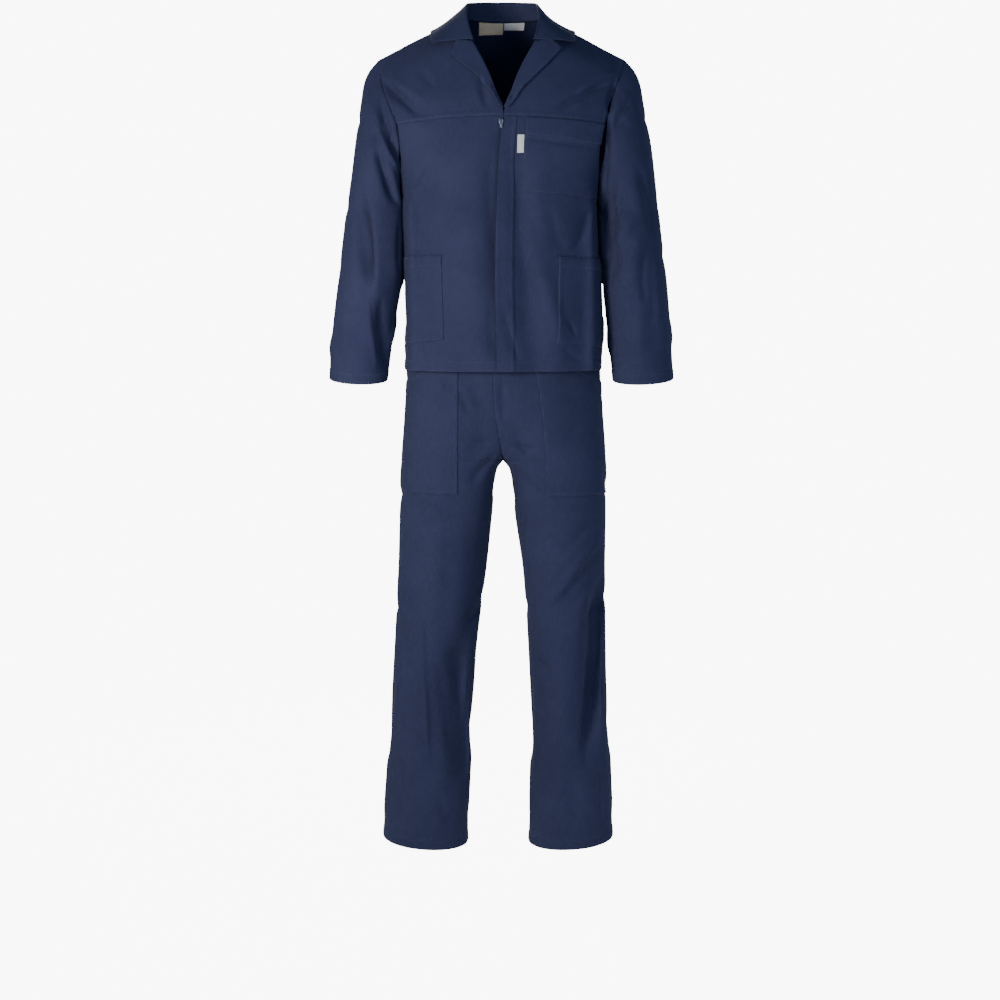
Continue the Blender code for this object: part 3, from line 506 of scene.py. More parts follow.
@dataclass
class Panel:
    """A shape of two parameters, the part of it that one piece covers, and how its edges are finished.

    Attributes:
        name: name of the piece.
        shape: gives points for rows and columns.
        rows: first and last row.
        columns: first and last column.
        sign: 1 where columns x rows turn outward.
        edges: finish of the bottom, top, first and last edge.
        closed: whether the columns close into a tube.
        knots: rows that need a grid line, as at a sharp corner.
        pitch: size of a grid cell away from the edges.
    """
    name: str
    shape: Shape
    rows: tuple[float, float]
    columns: tuple[float, float]
    sign: int
    edges: tuple[Edge, Edge, Edge, Edge] = (Edge.SEAM,) * 4
    closed: bool = False
    knots: tuple[float, ...] = ()
    pitch: float = 5.0

    def normals(self, rows: np.ndarray, columns: np.ndarray) -> np.ndarray:
        """Outward directions: the cross product of the slopes along columns and rows."""
        small = 1e-3
        r0, r1 = np.maximum(rows - small, self.rows[0]), np.minimum(rows + small, self.rows[1])
        c0, c1 = columns - small, columns + small
        if not self.closed:
            c0, c1 = np.maximum(c0, self.columns[0]), np.minimum(c1, self.columns[1])
        across = self.shape(rows, c1) - self.shape(rows, c0)
        up = self.shape(r1, columns) - self.shape(r0, columns)
        return unit(self.sign * np.cross(across, up))

    def lines(self, first: float, last: float, marks: tuple[np.ndarray, np.ndarray],
              speeds: tuple[np.ndarray, np.ndarray], count: int) -> np.ndarray:
        """Parameter values of grid lines: close beside both edges and even between them."""
        low = first + marks[0].reshape(-1, *([1] * speeds[0].ndim)) / speeds[0]
        high = last - marks[1][::-1].reshape(-1, *([1] * speeds[1].ndim)) / speeds[1]
        t = (np.arange(1, count) / count).reshape(-1, *([1] * speeds[0].ndim))
        return np.concatenate([low, low[-1] + (high[0] - low[-1]) * t, high])

    def grid(self) -> tuple[np.ndarray, np.ndarray]:
        """Rows and columns of every grid point, from the real lengths along the edges.

        The speed is millimetres for one step of a parameter. Where a piece is too narrow for the
        marks of both its edges, they are drawn together.
        """
        r0, r1 = self.rows
        c0, c1 = self.columns
        small_r, small_c = (r1 - r0) * 0.004, (c1 - c0) * 0.004
        probe = np.linspace(c0, c1, 24)
        ends = np.full(24, r0), np.full(24, r1)
        moved = [self.shape(e + s, probe) - self.shape(e, probe) for e, s in zip(ends, (small_r, -small_r))]
        speed = [np.array(np.median(np.linalg.norm(move, axis=-1)) / small_r) for move in moved]
        middle = self.shape(*np.meshgrid(np.linspace(r0, r1, 60), probe, indexing="ij"))
        tall = np.median(np.linalg.norm(np.diff(middle, axis=0), axis=-1).sum(0))
        broad = np.linalg.norm(np.diff(middle, axis=1), axis=-1).sum(1).max()
        marks = [e.marks for e in self.edges]
        tight = min(1.0, 0.8 * tall / (marks[0][-1] + marks[1][-1]))
        count = max(3, round((tall - marks[0][-1] - marks[1][-1]) / self.pitch))
        rows = self.lines(r0, r1, (marks[0] * tight, marks[1] * tight), tuple(speed), count)
        for knot in self.knots:
            rows[np.argmin(np.abs(rows - knot))] = knot
        first, last = np.full(rows.shape, c0), np.full(rows.shape, c1)
        side = [np.linalg.norm(self.shape(rows, e + s) - self.shape(rows, e), axis=-1) / small_c
                for e, s in ((first, small_c), (last, -small_c))]
        across = self.shape(*np.meshgrid(rows, probe, indexing="ij"))
        wide = np.linalg.norm(np.diff(across, axis=1), axis=-1).sum(1)
        tight = np.minimum(1.0, 0.8 * wide / (marks[2][-1] + marks[3][-1]))
        count = max(3, round((broad - marks[2][-1] - marks[3][-1]) / self.pitch))
        speeds = tuple(np.maximum(s, 1e-6) / tight for s in side)
        columns = self.lines(c0, c1, (marks[2], marks[3]), speeds, count).T
        if self.closed:
            columns = columns[:, :-1]
        return np.repeat(rows[:, None], columns.shape[1], 1), columns

    def find(self, x: float, z: float) -> tuple[float, float]:
        """Row and column of the point that shows at x, z from the front, by two searches on grids."""
        r, c = (self.rows[0] + self.rows[1]) / 2, (self.columns[0] + self.columns[1]) / 2
        reach_r, reach_c = (self.rows[1] - self.rows[0]) / 2, (self.columns[1] - self.columns[0]) / 2
        for _ in range(3):
            rows = np.clip(np.linspace(r - reach_r, r + reach_r, 90), *self.rows)
            columns = np.clip(np.linspace(c - reach_c, c + reach_c, 90), *self.columns)
            grid = np.meshgrid(rows, columns, indexing="ij")
            points = self.shape(*grid)
            near = np.argmin((points[..., 0] - x) ** 2 + (points[..., 2] - z) ** 2)
            r, c = grid[0].flat[near], grid[1].flat[near]
            reach_r, reach_c = reach_r / 20, reach_c / 20
        return float(r), float(c)

    def laid(self, corners: Table) -> Shape:
        """The surface between four corners seen from the front, with rows and columns 0 to 1."""
        rows, columns = np.array([self.find(x, z) for x, z in corners]).T

        def shape(u: np.ndarray, v: np.ndarray) -> np.ndarray:
            weights = ((1 - u) * (1 - v), (1 - u) * v, u * (1 - v), u * v)
            place = (sum(w * at for w, at in zip(weights, line)) for line in (rows, columns))
            return self.shape(*place)
        return shape

    def cloth(self, folds: Sequence[Folds], rumple: Rumple, lift: float = 0.0, thick: float = 1.0) -> Cloth:
        """The piece with its folds, seams and hems.

        Args:
            folds: fold tables that may reach this piece.
            rumple: unevenness of the cloth.
            lift: how far the outer face stands off the shape.
            thick: thickness of the wall.

        Returns:
            The cloth, not yet written as a mesh.
        """
        rows, columns = self.grid()
        points, normals = self.shape(rows, columns), self.normals(rows, columns)
        cloth = Cloth(self.name, points, normals, self.sign, self.closed, thick)
        up, across = cloth.steps(0), cloth.steps(1)
        width = across[:, -1:]
        if self.closed:
            width = width + np.linalg.norm(points[:, :1] - points[:, -1:], axis=-1)
        away = (up, up[-1:] - up, across, width - across)
        high = rumple.height(points) + sum(f.height(points, normals) for f in folds)
        pucker = noise(points, (6, 6, 6), 11)
        wear_and_highlight = np.zeros(high.shape)
        for k, edge in enumerate(self.edges):
            if edge.stitched or edge is Edge.SEAM:
                high = high + 0.2 * pucker * bell(away[k] / 9)
            high = high + edge.relief(away[k])
            wear_and_highlight = np.maximum(wear_and_highlight, edge.wear_and_highlight(away[k]))
        # Paleness of edges and ridges, partly rubbed dye and partly a painted highlight, broken up by the
        # pucker noise.
        cloth.wear_and_highlight = wear_and_highlight * np.clip(0.55 + 0.6 * pucker, 0, 1)
        cloth.points = points + normals * (high + lift)[..., None]
        return cloth


# Stitching

@dataclass
class Stitching:
    """All the stitches of one garment, as one mesh of small grains of thread.

    Attributes:
        name: name of the mesh.
        pitch: distance from stitch to stitch; three to the centimetre on work clothes.
        tack_pitch: distance from stitch to stitch in a bar tack.
        long: length of the thread that shows.
        wide: width of the thread where it lies pressed on the cloth.
        probe: distance on both sides over which a stitch reads its direction.
        parts: points and faces of each row of stitches.
    """
    name: str
    pitch: float = 3.4
    tack_pitch: float = 0.6
    long: float = 2.6
    wide: float = 0.5
    probe: float = 0.4
    parts: list[tuple[np.ndarray, np.ndarray]] = field(default_factory=list)

    def across(self, cloth: Cloth, seen: Sequence[tuple[float, float]], tack: bool = False) -> None:
        """Sews along a curve over a piece, through places of x and z as seen from the front.

        Args:
            cloth: the piece.
            seen: places on the curve, which is a Catmull-Rom curve through them.
            tack: whether it is a bar tack: close stitches square to the curve.
        """
        control = np.array([(x, 0.0, z) for x, z in seen])[:, None].repeat(2, 1)
        at = np.linspace(0, len(seen) - 1, 30 * len(seen))
        line = spline_sheet(control)(at, at * 0)
        ground = cloth.ground()
        places = ground.laid(line[:, 0], line[:, 2])
        normals = ground.normals[ground.near(places, (0, 1, 2))]
        self.add(places, normals, tack)

    def add(self, line: np.ndarray, normals: np.ndarray, tack: bool = False) -> None:
        """Sews along a line of points.

        Each stitch is an eight-sided grain: two ends in the cloth, two flanks, a crown and a root.
        """
        step = np.linalg.norm(np.diff(line, axis=0), axis=1)
        travelled = np.concatenate([[0], np.cumsum(step)])
        count = int(travelled[-1] // (self.tack_pitch if tack else self.pitch))
        if count < 1:
            return
        at = (np.arange(count) + 0.5) * travelled[-1] / count

        def read(places: np.ndarray, values: np.ndarray) -> np.ndarray:
            return np.stack([np.interp(places, travelled, values[:, k]) for k in range(3)], 1)

        middle, ahead, behind = (read(at + step, line) for step in (0, self.probe, -self.probe))
        normal = unit(read(at, normals))
        along = unit(ahead - behind)
        over = np.cross(normal, along)
        if tack:
            along, over = over, along
        half, flank = self.long / 2, self.wide / 2
        grain = [middle - along * half - normal * 0.12, middle + along * half - normal * 0.12,
                 middle + over * flank + normal * 0.1, middle - over * flank + normal * 0.1,
                 middle + normal * 0.3, middle - normal * 0.25]
        points = np.stack(grain, 1).reshape(-1, 3)
        one = np.array([[0, 2, 4], [0, 4, 3], [0, 3, 5], [0, 5, 2],
                        [1, 4, 2], [1, 3, 4], [1, 5, 3], [1, 2, 5]])
        faces = (one[None] + 6 * np.arange(count)[:, None, None]).reshape(-1, 3)
        self.parts.append((points, faces))

    def along_edges(self, cloth: Cloth, edges: Sequence[Edge]) -> None:
        """Sews every row of stitching that the finishes of a piece's edges ask for."""
        grid, normals = cloth.points, cloth.normals
        for k, edge in enumerate(edges):
            marks = list(edge.marks)
            for at in edge.stitched:
                n = marks.index(at)
                pick = n if k in (0, 2) else -1 - n + (cloth.closed and k == 3)
                lines = [values[pick] if k < 2 else values[:, pick] for values in (grid, normals)]
                if cloth.closed and k < 2:
                    lines = [np.concatenate([line, line[:1]]) for line in lines]
                self.add(*lines)

    def build(self) -> bpy.types.Object:
        """Joins the stitches into one mesh."""
        offset, points, faces = 0, [], []
        for p, f in self.parts:
            points.append(p)
            faces.append(f + offset)
            offset += len(p)
        return new_mesh(self.name, np.concatenate(points), np.concatenate(faces))


# The body of the jacket

@dataclass(frozen=True)
class JacketForm:
    """The smooth form of the jacket. Rows count up from the hem: 12 is the underarm, 17 the yoke seam
    and 24 (22 at the back) the shoulder seam. Columns go from the front opening, or the centre back,
    to the side."""
    underarm: float = 12
    yoke: float = 17
    top: float = 24
    back_top: float = 22
    power: float = 0.86
    placket_end: float = 0.079
    neck_share: float = 5 / 16
    # How far the right front reaches under the placket, and sinks behind it
    lap: float = 12
    sink: float = 2.6
    # Valley beside the placket: depth, width, height of its deepest place, and its half length
    valley: float = 16.0
    valley_width: float = 52
    valley_z: float = -425
    valley_length: float = 120
    # Forward stand of the fronts beside the side seams: distance, x, half width
    square: float = 18.0
    square_x: float = 180
    square_width: float = 16
    # Middle of the neck at the back: x, y, z
    nape: tuple[float, float, float] = (2, 72, 6)
    # Sideways lean: z, offset
    lean: Table = ((-700, 2.0), (-676, 2.0), (-612, 5.0), (-522, 2.0), (-424, -3.0), (-340, -6.5),
                   (-250, -2.0), (-204, -1.5), (-172, -4.0), (-130, -5.0), (-76, -0.5), (-45, -1.5),
                   (60, -1.5))
    # Front opening: row, middle x, half width, y, z, turn of the row in degrees, power of its fall
    opening: Table = ((0, -10, 0.0, -131, -678, 90, 2), (3, -11, 0.0, -128, -594, 90, 2),
                      (6, -13, 0.0, -125, -509, 90, 2), (9, -12, 0.0, -126, -424, 90, 2),
                      (12, -9, 0.0, -128, -340, 90, 2), (14, -7, 0.0, -127, -283, 76, 2),
                      (16, -1, 0.0, -121, -220, 63, 2), (17, 3, 0.4, -115, -189, 58, 2),
                      (17.5, 3, 2.3, -112, -174, 57, 1.8), (18.5, 3, 14.5, -106, -145, 56, 1.6),
                      (20, 3, 28, -93, -110, 54, 1.3), (21.2, 3, 44, -78, -77, 52, 1.15),
                      (22, 3, 62, -60, -44, 50, 1.08), (23, 3, 74, -26, -14, 49, 1.05),
                      (24, 2, 78, 10, 9, 48, 1.04))
    # Outer edges: row, x, y, z
    side_seam: Table = ((0, 193.7, 0, -678), (3, 193.5, 0, -594), (6, 193.4, 0, -509), (9, 193.2, 0, -424),
                        (12, 193, 0, -340))
    front_armhole: Table = ((12, 193, 0, -340), (13, 193.5, -28, -318), (14, 194, -50, -291),
                            (15, 195, -65, -262), (16, 197.5, -72, -232), (17, 201.5, -72, -204),
                            (18.5, 210, -66, -178), (20, 219, -54, -152), (21.3, 228, -38, -127),
                            (22.6, 236, -18, -99), (24, 241.5, 0, -74))
    back_armhole: Table = ((12, 193, 0, -340), (13, 190, 26, -318), (14, 187, 48, -290), (15, 186, 64, -260),
                           (16, 188, 74, -228), (18, 203, 72, -166), (20, 226, 44, -110), (22, 241.5, 0, -74))
    # Centre back: row, y, z, turn of the row in degrees, power of its fall
    spine: Table = ((0, 119, -678, 90, 2), (3, 116, -594, 90, 2), (6, 111, -509, 90, 2),
                    (9, 111, -424, 90, 2), (12, 118, -340, 90, 2), (14, 121, -284, 76, 2),
                    (16, 120, -214, 64, 2), (18, 109, -132, 58, 1.6), (20, 93, -62, 54, 1.3),
                    (22, 72, 6, 50, 1.1))
    # Broad folds: x z at one end, x z at the other, width, height
    ahead: Table = ((-75, -250, -95, -430, 30, 4),
                    (-232, -128, -150, -178, 15, -4), (-215, -190, -120, -215, 16, 4),
                    (222, -128, 150, -170, 15, -4), (190, -255, 150, -400, 26, 2),
                    (-180, -330, -120, -440, 22, -4), (180, -360, 120, -470, 24, -2),
                    (30, -520, 34, -640, 22, -4), (-60, -600, -20, -670, 26, 4), (110, -640, 60, -560, 24, 3))
    behind: Table = ((-205, -150, -110, -215, 22, -5), (205, -150, 110, -215, 22, -5),
                     (-170, -320, -60, -430, 28, -6), (170, -320, 70, -450, 28, -6),
                     (-110, -520, 90, -500, 24, 4), (-60, -620, -70, -560, 30, -5),
                     (80, -640, 70, -560, 28, -4))

    def edge(self, rows: np.ndarray, armhole: Table) -> np.ndarray:
        """The side seam up to the underarm, then the armhole."""
        return np.where(rows[..., None] <= self.underarm, curve(self.side_seam, rows), curve(armhole, rows))

    def arc(self, turn: np.ndarray, share: np.ndarray) -> tuple[np.ndarray, np.ndarray]:
        """Sideways and backward travel, 0 to 1, along a row that turns through an angle.

        Sideways is the sine of the angle so far over the sine of the whole, to a power; backward is
        one less the cosine to that power, over its value at the end.
        """
        turn = np.radians(turn)
        sideways = (np.sin(turn * share) / np.sin(turn)) ** self.power
        part, whole = (1 - np.maximum(np.cos(angle), 0) ** self.power for angle in (turn * share, turn))
        backward = part / whole
        return sideways, backward

    def front(self, side: int, lapped: bool) -> Shape:
        """One half of the front. The lapped half reaches under the other, sunk behind it."""
        def shape(rows: np.ndarray, columns: np.ndarray) -> np.ndarray:
            rows, columns = np.broadcast_arrays(np.asarray(rows, float), np.asarray(columns, float))
            middle, half, y0, z0, turn, power = split(curve(self.opening, rows))
            x1, y1, z1 = split(self.edge(rows, self.front_armhole))
            sideways, backward = self.arc(turn, np.clip(columns, 0, 1))
            z = z0 + (z1 - z0) * sideways ** power
            under = self.lap * smooth((self.yoke - 1 - rows) / 1.5) * lapped
            start = middle + side * (half + 0.15 - under)
            x = start + (side * x1 + curve(self.lean, z)[..., 0] - start) * sideways
            y = y0 + (y1 - y0) * backward
            beside = bell((np.abs(x) - self.square_x) / self.square_width) * smooth((1 - columns) / 0.12)
            y = y - self.square * beside * below(z, -300, 70)
            near = np.clip(1 - np.maximum(np.abs(x - start) - under, 0) / self.valley_width, 0, 1) ** 2
            deepest = 0.35 + 0.65 * bell((z - self.valley_z) / self.valley_length)
            sunk = self.sink + self.valley * deepest * (1 - 0.8 * below(z, -620, 70))
            y = y + sunk * near * smooth(self.yoke - rows) * lapped
            if side > 0:
                # The left front has a valley of its own, which leans outward down the placket's seam
                bottom = 24 - 0.085 * (z + 200)
                fade = below(z, -190, 180) * (1 - 0.5 * below(z, -560, 110))
                y = y + self.valley * bell((x - bottom) / 25) * fade
            return creased(np.stack([x, y, z], -1), self.ahead, self.behind)
        return shape

    def neck(self, columns: np.ndarray) -> np.ndarray:
        """The top line of the back: half an oval round the neck, then the shoulder seams."""
        share = np.abs(columns)
        front_columns = np.array([0, 0.03, 0.079, 0.17, 0.27, 0.37, 0.48, 0.59, 0.7, 0.8, 0.9, 1.0])
        steps = np.clip(share * 16 - 5, 0, 11)
        along = np.interp(steps, np.arange(12), front_columns)
        top = np.full(share.shape, self.top)
        left, right = self.front(1, False), self.front(-1, False)
        shoulder, end = (np.where((columns > 0)[..., None], left(top, at), right(top, at))
                         for at in (along, along * 0))
        turn = np.clip(share / self.neck_share, 0, 1)
        x0, y0, z0 = self.nape
        x = x0 + (end[..., 0] - x0) * np.sin(turn * math.pi / 2)
        y = end[..., 1] + (y0 - end[..., 1]) * np.cos(turn * math.pi / 2)
        z = z0 + (end[..., 2] - z0) * turn ** 2
        return np.where((share < self.neck_share)[..., None], np.stack([x, y, z], -1), shoulder)

    def back(self, rows: np.ndarray, columns: np.ndarray) -> np.ndarray:
        """The whole back, columns -1 to 1, even in distance across it."""
        rows, columns = np.broadcast_arrays(np.asarray(rows, float), np.asarray(columns, float))
        columns = np.sign(columns) * np.abs(columns) ** (1 / self.power)

        def plain(at: np.ndarray) -> np.ndarray:
            y0, z0, turn, power = split(curve(self.spine, at))
            x1, y1, z1 = split(self.edge(at, self.back_armhole))
            sideways, backward = self.arc(turn, np.abs(columns))
            z = z0 + (z1 - z0) * sideways ** power
            x = curve(self.lean, z)[..., 0] + np.sign(columns) * x1 * sideways
            return creased(np.stack([x, y0 + (y1 - y0) * backward, z], -1), self.ahead, self.behind)

        rise = np.clip((rows - self.back_top + 4) / 4, 0, 1)[..., None] ** 3
        return plain(rows) + rise * (self.neck(columns) - plain(np.full(rows.shape, self.back_top)))

    def body(self) -> np.ndarray:
        """Many points of the jacket's body, one to a row."""
        points = []
        for shape, top, first, count in ((self.front(1, False), self.top, 0, 70),
                                         (self.front(-1, False), self.top, 0, 70),
                                         (self.back, self.back_top, -1, 140)):
            grid = np.meshgrid(np.linspace(0, top, 150), np.linspace(first, 1, count), indexing="ij")
            points.append(shape(*grid).reshape(-1, 3))
        return np.concatenate(points)


@dataclass(frozen=True)
class SleeveForm:
    """The smooth form of one sleeve: ovals between an outer and an inner line, eased into the armhole.

    Rows are stations down the arm, columns go round from the underarm over the front to the shoulder
    (12) and down the back (22).
    """
    side: int
    jacket: JacketForm
    # Table of the body's width: y and z of its corner, cells along both, size of a cell, and the
    # least half width that counts
    corner: tuple[float, float] = (-150.0, -720.0)
    cells: tuple[int, int] = (52, 116)
    cell: float = 6.0
    least: float = 120
    # How far the back of the sleeve bulges towards the body
    bulge: float = 26
    # Station, x z on the outer line, x z on the inner line, half depth, y of the middle
    left: Table = ((0, 241.5, -74, 186.5, -340, 73, 1), (1, 260, -96, 188, -347, 79, 1),
                   (2, 270, -119, 188, -355, 83, 0), (3.4, 279, -167, 188, -370, 85, -1),
                   (5.5, 291.5, -237, 188, -396, 84, -4), (7.5, 300.5, -307, 189, -430, 81, -8),
                   (9.5, 309, -377, 192, -470, 77, -11), (11.5, 317.5, -447, 197.5, -513, 72, -13),
                   (13.5, 326, -518, 203, -560, 67, -15), (15.5, 331.5, -589, 209.5, -610, 61, -18),
                   (17.5, 336.5, -660, 215.5, -664, 56, -20), (18.5, 339, -695, 219.5, -700, 53, -21))
    right: Table = ((0, -241.5, -74, -199.5, -340, 73, 1), (1, -260, -96, -200, -347, 79, 1),
                    (2, -270, -119, -198, -355, 83, 0), (3.4, -277.5, -167, -197, -370, 85, -1),
                    (5.5, -288.5, -237, -196, -396, 84, -4), (7.5, -297, -307, -194, -430, 81, -8),
                    (9.5, -307, -377, -194, -470, 77, -11), (11.5, -316, -447, -198.5, -513, 72, -13),
                    (13.5, -324.5, -518, -206.5, -560, 67, -15), (15.5, -333, -589, -214, -610, 61, -18),
                    (17.5, -339.5, -660, -221, -664, 56, -20), (18.5, -341, -695, -226, -699, 53, -21))
    # Broad folds, written as the jacket's
    ahead: Table = ((-250, -205, -212, -262, 15, -6), (-262, -235, -222, -330, 17, 4),
                    (-222, -540, -226, -690, 24, -12),
                    (-284, -330, -262, -520, 16, -5), (-262, -380, -238, -560, 15, 4),
                    (-300, -560, -270, -640, 16, -4), (248, -185, 205, -250, 15, -6),
                    (225, -330, 262, -400, 16, -5), (268, -420, 245, -470, 15, 4),
                    (292, -430, 300, -640, 16, -5), (262, -560, 268, -650, 15, 4))
    behind: Table = ((-235, -250, -285, -330, 20, -5), (-255, -420, -300, -470, 18, -5),
                     (235, -250, 285, -330, 20, -5), (255, -430, 305, -480, 18, -5))

    def armhole(self, columns: np.ndarray) -> np.ndarray:
        """The armhole's line, shared with the body."""
        columns = np.mod(columns, 22)
        front_rows = np.clip(12 + columns, 12, 24)
        back_rows = np.clip(22 - (columns - 12), 12, 22)
        one = np.ones(columns.shape)
        ahead = self.jacket.front(self.side, False)(front_rows, one)
        behind = self.jacket.back(back_rows, one * self.side)
        return np.where((columns <= 12)[..., None], ahead, behind)

    @property
    def hollow(self) -> float:
        """How far the front of the sleeve draws away from the body beside the chest."""
        return 15.0 if self.side > 0 else -8.0

    @cached_property
    def width(self) -> np.ndarray:
        """Half width of the jacket's body in cells of y and z, 0 where there is none."""
        body = self.jacket.body()
        body = body[body[:, 0] * self.side > self.least]
        table = np.zeros(self.cells)
        at = ((body[:, 1:] - np.array(self.corner)) / self.cell).astype(int)
        at = np.clip(at, 0, np.array(table.shape) - 1)
        np.maximum.at(table, (at[:, 0], at[:, 1]), body[:, 0] * self.side)
        return table

    def beside(self, points: np.ndarray, gap: np.ndarray) -> np.ndarray:
        """Points moved sideways clear of the jacket's body, by the table of its half width."""
        table = self.width
        place = (points[..., 1:] - np.array(self.corner)) / self.cell - 0.5
        place = np.clip(place, 0, np.array(table.shape) - 1.001)
        k = place.astype(int)
        f = place - k
        u, v, p, q = k[..., 0], k[..., 1], f[..., 0], f[..., 1]
        wide = (table[u, v] * (1 - p) * (1 - q) + table[u + 1, v] * p * (1 - q)
                + table[u, v + 1] * (1 - p) * q + table[u + 1, v + 1] * p * q)
        moved = points.copy()
        clear = self.side * np.maximum(self.side * points[..., 0], wide + gap)
        moved[..., 0] = np.where(wide > self.least, clear, points[..., 0])
        return moved

    def shape(self, rows: np.ndarray, columns: np.ndarray) -> np.ndarray:
        """Points of the sleeve for stations and places round it."""
        rows, columns = np.broadcast_arrays(np.asarray(rows, float), np.asarray(columns, float))
        turn = np.mod(columns, 22)
        angle = np.where(turn <= 12, math.pi * (1 - turn / 12), -math.pi * (turn - 12) / 10)
        table = self.left if self.side > 0 else self.right

        def oval(at: np.ndarray) -> np.ndarray:
            x0, z0, x1, z1, deep, middle = split(curve(table, at))
            mix = (1 + np.cos(angle)) / 2
            droop = 8 * np.sin(angle) * smooth((at - 14) / 4.5)
            x, y, z = x1 + (x0 - x1) * mix, middle - deep * np.sin(angle), z1 + (z0 - z1) * mix - droop
            return np.stack([x, y, z], -1)

        first, here = oval(np.zeros(rows.shape)), oval(rows)
        folded = creased(here, self.ahead, self.behind, middle=-8, reach=35)
        here = here + (folded - here) * smooth((rows - 0.5) / 2)[..., None]
        # The armhole's line eases into the ovals, and both hollow and bulge end at the elbow
        ease = ((1 - smooth(rows / 6.5)) ** 1.6)[..., None]
        points = here + (self.armhole(columns) - first) * ease
        elbow = smooth((12.2 - rows) / 2.2)
        drawn = smooth((rows - 2.2) / 2) * self.hollow * bell((turn - 2.8) / 1.5)
        full = smooth((rows - 0.8) / 1.6) * self.bulge * bell((turn - 20.1) / 1.4)
        points[..., 0] += self.side * elbow * (drawn - full)
        gap = np.interp(rows, [0, 1, 3, 8.6, 10], [0, 0.5, 0.7, 0.7, 3.5])
        cleared = self.beside(points, gap)
        return points + (cleared - points) * smooth(rows / 0.5)[..., None]


@dataclass(frozen=True)
class TrouserForm:
    """The smooth form of the trousers. Rows: 14 is the crotch, 23 the waist seam. Columns: 0 is the
    inner seam or the centre line, 4 the inner edge of the pocket, 10 the outer seam."""
    # Row, z, y of the seams, half depth ahead, half depth behind, share of a whole leg, squareness
    rows: Table = ((0, -1623, 0, 68, 70, 1, 2.1), (1, -1600, 0, 68, 70, 1, 2.1),
                   (4, -1429, 0, 71, 73, 1, 2.1), (7, -1265, 1, 75, 77, 1, 2.1),
                   (10, -1085, 3, 83, 90, 1, 2.3), (12, -960, 5, 92, 105, 1, 2.7),
                   (13, -902, 6, 97, 112, 1, 3.2), (14, -857, 6, 100, 116, 1, 3.8),
                   (15, -848, 6, 101, 117, 0.93, 3.6), (16, -830, 5, 103, 119, 0.8, 3.2),
                   (17, -804, 4, 106, 121, 0.62, 2.8), (18, -772, 2, 108, 122, 0.42, 2.5),
                   (19, -738, 1, 109, 121, 0.25, 2.3), (20, -705, 0, 108, 119, 0.11, 2.2),
                   (21, -676, 0, 107, 116, 0.03, 2.2), (22, -640, 0, 104, 110, 0, 2.1),
                   (23, -600, 0, 101, 104, 0, 2.1))
    # Row, x of the inner seam or centre line, x of the pocket's inner edge, x of the outer seam
    left: Table = ((0, 55, 118, 226), (1, 56.5, 118, 224.5), (4, 60.5, 114, 216.5), (7, 54, 106, 209.5),
                   (10, 43, 97, 207), (12, 26, 90, 208.3), (13, 21, 87, 207.5), (13.5, 15, 86, 206.7),
                   (14, 2, 85.5, 205.5), (15, 1, 85, 205), (16, -2, 84, 203.7), (17, -6, 82, 201.7),
                   (18, -12, 79, 199), (19, -16, 75, 196.8), (20, -17, 70, 194.6), (21, -17, 65, 193.7),
                   (22, -17, 62, 189), (23, -17, 60, 181))
    right: Table = ((0, -69.5, -133, -241), (1, -69.5, -132, -239.5), (4, -64.5, -124, -227),
                    (7, -54, -114, -217.5), (10, -33, -99, -208.5), (12, -20, -89, -204.5),
                    (13, -15.5, -86, -202), (13.5, -10, -86, -200.5), (14, 2, -86, -199),
                    (15, 1, -86, -198.6), (16, -2, -86, -197.5), (17, -6, -85.5, -195.5),
                    (18, -12, -85, -193), (19, -16, -85, -190.5), (20, -17, -85, -188.2),
                    (21, -17, -85, -189.5), (22, -17, -85, -185), (23, -17, -84, -177))
    # Broad folds, written as the jacket's
    ahead: Table = ((-62, -706, -32, -752, 16, -5), (-52, -985, -86, -1330, 18, -6),
                    (-130, -1010, -150, -1250, 28, 4), (-185, -1010, -176, -1180, 20, -4),
                    (-122, -1290, -140, -1500, 18, -5), (-176, -1290, -188, -1500, 20, 4),
                    (-150, -1540, -110, -1600, 22, 4), (203, -1020, 118, -1140, 18, -6),
                    (150, -1020, 92, -1090, 20, 4), (186, -1130, 148, -1400, 17, -6),
                    (120, -1210, 112, -1460, 22, 4), (136, -1470, 150, -1590, 18, -4),
                    (22, -790, 60, -840, 16, -4), (-30, -800, -62, -850, 16, -4),
                    (194, -1080, 176, -1450, 19, -30), (-26, -960, -60, -1200, 13, -9),
                    (-92, -1220, -78, -1520, 23, -27))
    behind: Table = ((-150, -900, -60, -950, 22, -6), (150, -900, 60, -950, 22, -6),
                     (-170, -1150, -100, -1210, 22, -5), (170, -1160, 100, -1220, 22, -5),
                     (-110, -1300, -130, -1520, 22, -5), (110, -1300, 130, -1520, 22, -5))

    def half(self, side: int, rear: bool) -> Shape:
        """Front or back of one leg and its half of the seat: half of a squared oval, row by row."""
        table = self.left if side > 0 else self.right

        def shape(rows: np.ndarray, columns: np.ndarray) -> np.ndarray:
            rows, columns = np.broadcast_arrays(np.asarray(rows, float), np.asarray(columns, float))
            z, middle, ahead, behind, whole, square = split(curve(self.rows, rows))
            inner, pocket, outer = split(curve(table, rows))
            centre = inner + (outer - inner) / 2 * whole
            radius = np.abs(outer - centre)
            start = np.arccos(np.clip(np.abs(centre - inner) / radius, 0, 1))
            edge = np.arccos(np.clip(side * (centre - pocket) / radius, -1, 1))
            angle = np.where(columns < 4, start + (edge - start) * columns / 4,
                             edge + (math.pi - edge) * (columns - 4) / 6)
            x = centre - side * radius * np.cos(angle)
            power = np.where(angle < math.pi / 2, square, 2.1)
            rounded = np.clip(1 - np.abs(np.cos(angle)) ** power, 0, 1) ** (1 / power)
            deep = rounded * (behind if rear else -ahead)
            droop = smooth(1 - rows / 2.5) * (-6 - 6 * np.cos(angle) - 9 * np.sin(angle))
            return creased(np.stack([x, middle + deep, z + droop], -1), self.ahead, self.behind, reach=35)
        return shape

